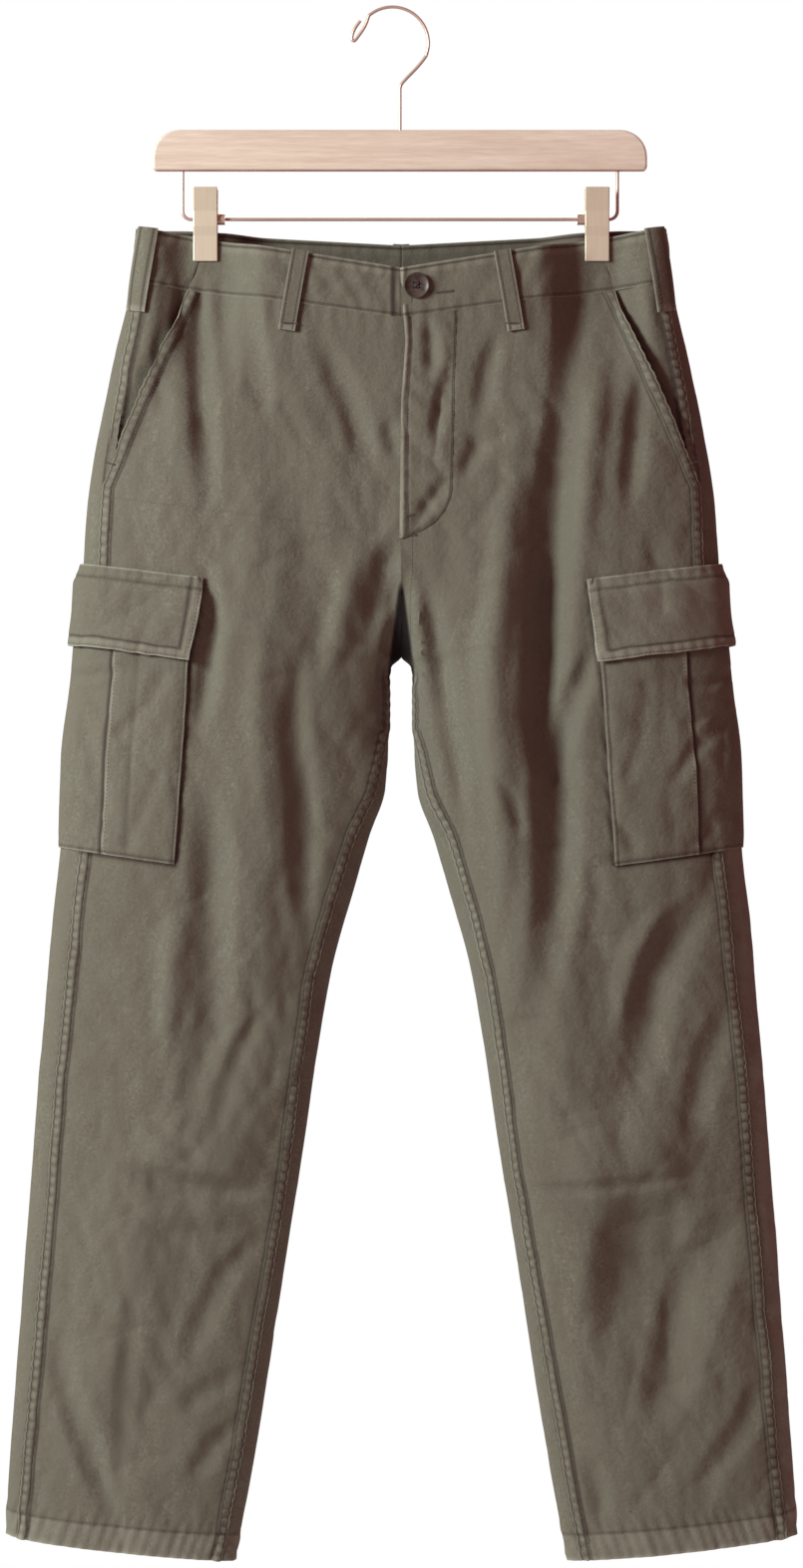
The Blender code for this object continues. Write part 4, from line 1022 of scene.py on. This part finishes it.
def clip_arc(side, falls, turns, arc):
    """Where each row passes under its clip, as a distance along the row, or far off it."""
    point, _ = HALVES[side].at(falls, turns)
    off = np.abs(point[..., 0] - CLIP_AT)
    best = np.argmin(off, axis=1)[:, None]
    near = np.take_along_axis(off, best, 1) < 6
    return np.where(near, np.take_along_axis(arc, best, 1), 1e3)


def between(first, last, count):
    """Turns spread evenly from one edge to another, a row at a time."""
    return first[:, None] + (last - first)[:, None] * np.linspace(0, 1, count)[None, :]


def add_waistband():
    falls = lines(BAND_TOP, BAND_SEAM, 1.4)
    share = (BAND_TOP - falls) / (BAND_TOP - BAND_SEAM)
    seam = turn_at(152 + 15 * share, falls)
    edge = fly_edge(measure("front", falls))
    for name, side in SIDES.items():
        start = turn_at(np.maximum(edge, 0), falls) if side == LEFT else np.zeros_like(falls)
        turns = between(start, seam, 84)
        slip = (np.minimum(edge, 0) if side == LEFT else np.full_like(falls, -8.0))[:, None]
        slip = slip * (np.arange(84) == 0)
        band_wall("waistband_front_piece_" + name, side, falls[:, None], turns, slip)
        turns = between(seam, np.full_like(falls, 2 * PI), 150)
        band_wall("waistband_back_piece_" + name, side, falls[:, None], turns)


# Belt loops' two edges, each at the band's top and at its seam, from the centre line.
LOOPS = {"front": ((72, 79), (85, 92)), "side": ((190, 196), (203, 209))}
LOOP_THICK = 1.5
LOOP_ROWS = (0.19, 0.81)  # a loop's stitch rows, as shares of its width


def add_belt_loops():
    falls = lines(BAND_TOP + 1, LOOP_END, 1.5)
    share = (BAND_TOP - falls) / (BAND_TOP - BAND_SEAM)
    for name, side in SIDES.items():
        for place, ((t0, f0), (t1, f1)) in LOOPS.items():
            first = turn_at(t0 + (f0 - t0) * share, falls)
            last = turn_at(t1 + (f1 - t1) * share, falls)
            turns = between(first, last, 13)
            add_loop("belt_loop_%s_piece_%s" % (place, name), side, falls[:, None], turns)
    across = np.linspace(-6.5, 6.5, 13)[None, :]
    rows = falls[:, None]
    turns = turn_at(np.abs(across) * np.ones_like(rows), rows, back=True)
    point, normal = HALVES[RIGHT].at(rows, turns, calm=True)
    point[..., 0] *= -np.sign(across)
    profile, wear_and_painted_light = loop_profile(rows, np.abs(across + 6.5) * np.ones_like(rows), 13.0)
    inner, outer = (to_model(RIGHT, point + normal * (profile + off)[..., None]) for off in (0, LOOP_THICK))
    made = wall("belt_loop_back_piece", RIGHT, outer, inner, wear_and_painted_light)
    finish_cloth(made, outer, ["belt_loop_back"])
    sew("belt_loops", RIGHT, outer, across * np.ones_like(rows), (-4.1, 4.1))


def loop_profile(falls, across, width):
    """Offset of a loop's underside, and its wear with painted shade at its stitch rows: arched in the middle,
    sewn down at both ends.
    """
    down, length = BAND_TOP - falls, BAND_TOP - LOOP_END
    arch = 1.0 * np.sin(PI * np.clip(down / length, 0, 1)) ** 0.6
    rims = 0.28 * (hump(across - 1.2, 1.6) + hump(across - width + 1.2, 1.6))
    tacks = 0.45 * (hump(down - length + 2.5, 2.6) + hump(down - 2.0, 2.6))
    wear_and_painted_light = 0.8 * (hump(across, 1.3) + hump(across - width, 1.3)) + 0.5 * hump(down - length, 3) \
        + 0.35 * hump(down - length + 3, 3) \
        - 0.8 * sum(hump(across / width - row, 0.07) for row in LOOP_ROWS)
    return 1.75 + arch + rims + tacks, wear_and_painted_light * np.ones_like(across)


def add_loop(name, side, falls, turns):
    arc = spread(HALVES[side], falls, turns)
    profile, wear_and_painted_light = loop_profile(falls, arc, arc[:, -1:])
    node_name = name.replace("_piece", "")
    below = node_name.replace("belt_loop_front", "waistband_front")
    below = below.replace("belt_loop_side", "waistband_back")
    outer = cloth(name, side, falls, turns, profile, profile + LOOP_THICK, [node_name],
                  0.0, wear_and_painted_light, calm=True)
    sew("belt_loops", side, outer, arc / arc[:, -1:], LOOP_ROWS)


def cargo_turns(side, falls, first=0.0, last=0.0):
    """Turns of a cargo pocket's or flap's front and back edges; first and last widen it."""
    front = turn_at(measure("cargo_front", falls) - CARGO_SHIFT * side - first, falls)
    back = turn_at(measure("cargo_back", falls) - last, falls, back=True)
    return front, back


def pleat_turn(side, falls):
    """Turn of the pleat's front fold, three quarters of the way to the side seam."""
    front, _ = cargo_turns(side, falls)
    seam = turn_at(np.minimum(measure("slant", falls), side_edge(falls, 0)), falls)
    return front + (seam - front) * 0.75


PLEAT_DEEP = 19.0         # how far under the pleat's fold its hidden edge lies
POCKET_ROW = 2.4          # the pocket's stitch row, from its edge
FLAP_ROWS, FLAP_TOP_ROW = (1.8, 8.2), 9.0

# Creases in the cargo pockets: half width, depth, route.
POCKET_CREASES = {
    RIGHT: (
        (7, -1.9, ((258, -524), (240, -522), (222, -520))),
        (9, -2.2, ((186, -524), (196, -546), (216, -566))),
        (8, -1.5, ((188, -600), (206, -640), (214, -668))),
        (7, -1.3, ((262, -662), (236, -668), (222, -676))),
        (10, -1.4, ((244, -560), (238, -590), (230, -624))),
    ),
    LEFT: (
        (7, -1.8, ((254, -520), (238, -530), (224, -528))),
        (9, -2.2, ((250, -560), (228, -578), (214, -600))),
        (8, -1.6, ((190, -530), (186, -570), (176, -600))),
        (9, -1.5, ((250, -626), (232, -650), (222, -672))),
        (8, -1.2, ((166, -640), (184, -660), (196, -676))),
    ),
}


def crease_height(side, point):
    total = np.zeros(point.shape[:2])
    for half_width, depth, route in POCKET_CREASES[side]:
        near, _ = to_route(point[..., 0], point[..., 2], route)
        total += depth * hump(near, half_width) * (point[..., 1] < 0)
    return total


def add_cargo_pockets():
    """Patch pockets that wrap the side seam, each with a raised part and the pleat's fold."""
    top = FLAP_TOP - 12
    near = np.linspace(0, 1, 26)
    near = near - 0.6 * np.sin(2 * PI * near) / (2 * PI)
    far = np.linspace(0, 1, 52)
    raised = np.concatenate([np.ones(26), [1.0, 0.25], np.zeros(52), [0.25, 1.0], np.ones(26)])[None, :]
    for name, side in SIDES.items():
        half = HALVES[side]
        falls = lines(top, CARGO_END, 2.1)[:, None]
        front, back = cargo_turns(side, falls)
        pleat = pleat_turn(side, falls)
        rear = back - 0.42
        turns = np.concatenate([
            front + (pleat - front) * near, pleat + np.array([0.006, 0.014]),
            pleat + 0.03 + (rear - pleat - 0.03) * far, rear + np.array([0.006, 0.016]),
            rear + 0.022 + (back - rear - 0.022) * near], 1)
        arc = spread(half, falls, turns)
        point, _ = half.at(falls, turns)
        edge_off = np.minimum(arc, arc[:, -1:] - arc)
        foot_off = np.abs(CARGO_END - falls) * np.ones_like(arc)
        sewn = np.minimum(smooth((edge_off - 1.0) / 9), smooth((foot_off - 1.0) / 12))
        past_fold = arc - arc[:, 25:26]
        belly = np.sin(PI * np.clip((falls - CARGO_END) / (top - CARGO_END), 0, 1)) ** 0.5
        lift = 1.1 + 1.25 * raised * smooth(foot_off / 6) + 1.5 * sewn * belly
        lift = lift + sewn * (crease_height(side, point) - 1.2 * hump(past_fold + PLEAT_DEEP, 3.0))
        lift = lift + 0.22 * ripple(falls, 8.0, side) * hump(edge_off - 1.5, 5) \
            + 0.22 * ripple(arc, 8.5, side) * hump(foot_off - 2, 6)
        row = hump(edge_off - POCKET_ROW, 1.0) + hump(foot_off - POCKET_ROW, 1.0)
        roll = -0.45 * (hump(edge_off, 1.2) + hump(foot_off, 1.2))
        # Pale rubbed edges are wear; the pleat's fold gets a painted highlight with a painted shadow line
        # beside it, and the stitch row and the pleat's hidden edge get painted shade.
        wear_and_painted_light = 0.6 * np.maximum(hump(edge_off, 1.5), hump(foot_off, 1.5)) \
            + 0.5 * hump(past_fold + 1, 2.0) * (raised > 0.5) \
            - 1.2 * hump(past_fold - 1.6, 2.8) * (raised < 0.9) \
            - 0.6 * row - 0.7 * hump(past_fold + PLEAT_DEEP, 1.8) * sewn
        outer = cloth("cargo_pocket_piece_" + name, side, falls, turns, lift,
                      lift + 1.1 - 0.3 * row + roll, ["cargo_pocket_" + name],
                      0.0, wear_and_painted_light, calm=True)
        for field, level, axis in ((arc, POCKET_ROW, 0), (arc[:, -1:] - arc, POCKET_ROW, 0),
                                   (foot_off, POCKET_ROW, 1), (-past_fold, 1.8, 0)):
            sew("cargo_pockets", side, outer, field, [level], axis)


def add_cargo_flaps():
    for name, side in SIDES.items():
        falls = lines(FLAP_TOP + 1.5, FLAP_END, 1.6)
        turns = between(*cargo_turns(side, falls, 1.0, 1.0), 110)
        falls = falls[:, None]
        arc = spread(HALVES[side], falls, turns)
        down = (falls[0] - falls) * np.ones_like(arc)
        deep = down[-1, 0]
        ends = np.minimum(arc, arc[:, -1:] - arc)
        rims = np.minimum(ends, deep - down)
        lift = 1.1 + 4.9 * smooth((down - 2) / 14) \
            + 1.6 * smooth((down - deep + 22) / 22) * (0.6 + 0.4 * np.sin(arc / 19 + side))
        swell = 0.34 * ripple(arc, 8.6, side) * (hump(down - 5, 7) + hump(deep - down - 4, 7)) \
            + 0.3 * ripple(down, 8.0, side) * hump(ends - 4, 6) \
            - 0.8 * hump(arc - 42, 22) * hump(down - 30, 20) \
            + 0.7 * hump(arc - 66, 20) * hump(down - 34, 18)
        edge_row, inner_row = FLAP_ROWS
        groove = -0.34 * (hump(rims - inner_row, 1.0) + hump(down - FLAP_TOP_ROW, 1.0)
                          + hump(rims - edge_row, 0.9))
        rim = np.minimum(rims, down)
        # Pale rims are wear; the whole left flap is lightened as painted light, and its stitch rows get
        # painted shade.
        wear_and_painted_light = 0.9 * hump(rim, 1.7) + 0.3 * hump(rims - 4.5, 3.5) + 0.18 * (side == LEFT) \
            - 0.9 * (hump(rims - inner_row, 1.3) + hump(down - FLAP_TOP_ROW, 1.3))
        high = lift + 1.9 + swell + 0.5 * smooth((9.5 - down) / 2.0) + groove - 0.6 * hump(rim, 1.4)
        outer = cloth("cargo_flap_piece_" + name, side, falls, turns, lift + 0.4 * swell, high,
                      ["cargo_flap_" + name], 0.0, wear_and_painted_light, 90.0, True)
        sew("cargo_flaps", side, outer, down, [FLAP_TOP_ROW], 1)
        inside = (down[:, 0] > FLAP_TOP_ROW) & (down[:, 0] < deep - 8)
        for row in FLAP_ROWS:
            sew("cargo_flaps", side, outer, arc, [row], 0, inside)
            sew("cargo_flaps", side, outer, arc[:, -1:] - arc, [row], 0, inside)
            sew("cargo_flaps", side, outer, deep - down, [row], 1, (ends > row).all(0))


def add_fly():
    """Double layer of the left front, from its edge to the curved stitch line."""
    falls = lines(BAND_SEAM, -384, 2.4)
    z = measure("front", falls)
    edge = fly_edge(z)
    bend = np.sqrt(np.clip(1 - np.clip((-382 - z) / 33.0, 0, 1) ** 2, 0.02, 1))
    reach = (43.0 - 4.0 * np.clip((-240 - z) / 150, 0, 1)) * bend
    x = between(np.maximum(edge, 0), reach, 40)
    falls = falls[:, None]
    turns = turn_at(x, falls * np.ones_like(x))
    slip = np.minimum(edge, 0)[:, None] * (np.arange(40) == 0)
    arc = spread(HALVES[LEFT], falls, turns)
    off = arc[:, -1:] - arc
    high = CLOTH / 2 + 0.35 + 1.5 * smooth((off - 0.5) / 9) \
        + 0.5 * ripple(falls + 0.7 * x, 19.0, 0.5) * smooth((off - 1) / 6) * smooth((arc - 3) / 6) \
        + 0.3 * ripple(falls, 9.0, 0.5) * (hump(off - 4, 7) + hump(arc - 4, 6)) \
        + 0.7 * hump(arc - 1.6, 2.6) - 0.55 * hump(arc - 5.4, 1.8)
    # A pale rubbed edge as wear, with painted shade in dark lines along the curved edge and along the stitch
    # row beside the rolled edge.
    wear_and_painted_light = 0.7 * hump(arc - 0.8, 2.0) - 0.8 * hump(off - 0.8, 1.4) - 0.6 * hump(arc - 5.4, 1.4)
    outer = cloth("fly_piece", LEFT, falls, turns, CLOTH / 2 + 0.08, high, ["fly_placket"],
                  slip, wear_and_painted_light)
    sew("fly", LEFT, outer, off, [1.4])
    sew("fly", LEFT, outer, arc, [5.0])


add_fronts()
add_backs()
add_facings()
add_waistband()
add_belt_loops()
add_cargo_pockets()
add_cargo_flaps()
add_fly()
for group in list(SEAMS):
    add_stitches(group)
add_bars()


# ---- metal, wood and horn -----------------------------------------------------------------
BUTTON_RADIUS, BUTTON_THICK = 10.0, 3.2


def tag(made, stands_for, shader):
    """Hands a finished hard piece to the shared frame."""
    made.data.materials.clear()
    made.data.materials.append(shader)
    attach(made, "root")
    if stands_for:
        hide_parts(*stands_for)


def only(made):
    """Selects one piece and nothing else."""
    bpy.ops.object.select_all(action="DESELECT")
    made.select_set(True)
    bpy.context.view_layer.objects.active = made


def apply_all(made):
    only(made)
    bpy.ops.object.transform_apply(location=True, rotation=True, scale=True)


def cylinder(vertices, radius, depth, place, rotation):
    """A round bar, its radius and length in millimetres."""
    bpy.ops.object.select_all(action="DESELECT")
    bpy.ops.mesh.primitive_cylinder_add(vertices=vertices, radius=radius * MM, depth=depth * MM,
                                        location=place, rotation=rotation)
    return bpy.context.object


def pick_faces(test):
    """In edit mode: selects only the faces whose centre and normal pass a test."""
    mesh = bmesh.from_edit_mesh(bpy.context.object.data)
    bpy.ops.mesh.select_all(action="DESELECT")
    for face in mesh.faces:
        face.select_set(bool(test(face.calc_center_median(), face.normal)))
    bmesh.update_edit_mesh(bpy.context.object.data)


def add_button():
    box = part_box("waist_button")
    centre = (Vector(box[0]) + Vector(box[1])) / 2
    button = cylinder(64, BUTTON_RADIUS, BUTTON_THICK, centre, (PI / 2, 0, 0))
    button.name = "four_hole_button"
    apply_all(button)
    bpy.ops.object.mode_set(mode="EDIT")
    pick_faces(lambda at, normal: normal.y < -0.9)
    bpy.ops.mesh.inset(thickness=1.0 * MM)
    bpy.ops.mesh.inset(thickness=1.1 * MM)
    bpy.ops.transform.translate(value=(0, 0.9 * MM, 0))
    bpy.ops.mesh.inset(thickness=2.6 * MM)
    bpy.ops.transform.translate(value=(0, 0.35 * MM, 0))
    bpy.ops.object.mode_set(mode="OBJECT")
    for across, up in ((-1, -1), (-1, 1), (1, -1), (1, 1)):
        hole = centre + Vector((across * 1.75 * MM, 0, up * 1.75 * MM))
        drill = cylinder(20, 0.95, 12, hole, (PI / 2, 0, 0))
        cut = button.modifiers.new("hole", "BOOLEAN")
        cut.operation, cut.object, cut.solver = "DIFFERENCE", drill, "EXACT"
        only(button)
        bpy.ops.object.modifier_apply(modifier="hole")
        bpy.data.objects.remove(drill)
    soft = button.modifiers.new("rounded", "BEVEL")
    soft.width, soft.segments, soft.limit_method = 0.35 * MM, 2, "ANGLE"
    soft.angle_limit = math.radians(35)
    bpy.ops.object.modifier_apply(modifier="rounded")
    bpy.ops.object.shade_smooth_by_angle(angle=math.radians(40))
    tag(button, ["waist_button"], HORN)
    front = box[0][1] + 1.2 * MM
    for lean in (-1, 1):
        depth = front - (0.25 * MM if lean > 0 else -0.1 * MM)
        strand = cylinder(12, 0.55, 5.2, (centre.x, depth, centre.z), (0, lean * PI / 4, 0))
        strand.name = "button_thread_%s" % ("up" if lean > 0 else "down")
        apply_all(strand)
        bpy.ops.object.shade_smooth_by_angle(angle=math.radians(50))
        tag(strand, [], DARK_THREAD)


add_button()
for carried, finish in (("hanger_bar", MAPLE), ("hanger_hook", ROSE), ("hanger_frame", ROSE),
                        ("clip_front_right", SATIN), ("clip_front_left", SATIN),
                        ("clip_back_right", SATIN), ("clip_back_left", SATIN),
                        ("clip_spring_right", ROSE), ("clip_spring_left", ROSE)):
    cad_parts[carried].data.materials.clear()
    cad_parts[carried].data.materials.append(finish)


# ---- floor, light and camera --------------------------------------------------------------
def add_stage():
    bpy.ops.object.select_all(action="DESELECT")
    bpy.ops.mesh.primitive_circle_add(vertices=96, radius=1.3, fill_type="NGON",
                                      location=(0, 0, -1.6))
    floor = bpy.context.object
    floor.name = "studio_floor"
    made, tree, shader = shader_of("pale floor", (0.77, 0.83, 0.82), 0.9)
    place = node(tree, "ShaderNodeTexCoord")
    tone = noise(tree, place.outputs["Object"], 5.0, 3.0)
    tree.links.new(mixed(tree, tone, (0.75, 0.81, 0.8), (0.79, 0.85, 0.84)),
                   shader.inputs["Base Color"])
    floor.data.materials.append(made)


def add_light(name, place, aim, size, power, color):
    lamp = bpy.data.lights.new(name, "AREA")
    lamp.shape = "RECTANGLE"
    lamp.size, lamp.size_y = size
    lamp.energy = power
    lamp.color = color
    made = bpy.data.objects.new(name, lamp)
    made.location = place
    made.rotation_euler = (Vector(aim) - Vector(place)).to_track_quat("-Z", "Y").to_euler()
    bpy.context.collection.objects.link(made)


def add_world():
    """White behind the object, and a dim warm light from all round on the object."""
    world = bpy.data.worlds.new("studio")
    bpy.context.scene.world = world
    world.use_nodes = True
    tree = world.node_tree
    tree.nodes.clear()
    seen, lit = node(tree, "ShaderNodeBackground"), node(tree, "ShaderNodeBackground")
    seen.inputs["Color"].default_value = (1, 1, 1, 1)
    lit.inputs["Color"].default_value = (1.0, 0.42, 0.42, 1)
    lit.inputs["Strength"].default_value = 0.36
    path, choose = node(tree, "ShaderNodeLightPath"), node(tree, "ShaderNodeMixShader")
    out = node(tree, "ShaderNodeOutputWorld")
    tree.links.new(path.outputs["Is Camera Ray"], choose.inputs[0])
    tree.links.new(lit.outputs[0], choose.inputs[1])
    tree.links.new(seen.outputs[0], choose.inputs[2])
    tree.links.new(choose.outputs[0], out.inputs["Surface"])


def add_camera():
    """Straight on, as tall as the whole object and a little more."""
    view_height, distance, centre = 1.2262, 4.0, (0.0072, -0.6064)
    camera = bpy.data.cameras.new("camera")
    camera.sensor_width = 36.0
    camera.lens = camera.sensor_width * distance / view_height
    made = bpy.data.objects.new("camera", camera)
    made.location = (centre[0], -distance, centre[1])
    made.rotation_euler = (PI / 2, 0, 0)
    bpy.context.collection.objects.link(made)
    bpy.context.scene.camera = made


add_stage()
add_world()
add_light("key", (-2.1, -1.4, 0.3), (0, 0, -0.68), (0.8, 0.8), 121, (0.83, 1.0, 0.97))
add_light("back light", (0.4, 4.4, 0.9), (0, 0, -0.65), (2.0, 2.0), 150, (1.0, 0.96, 0.92))
add_camera()
bpy.context.scene.view_settings.view_transform = "Standard"
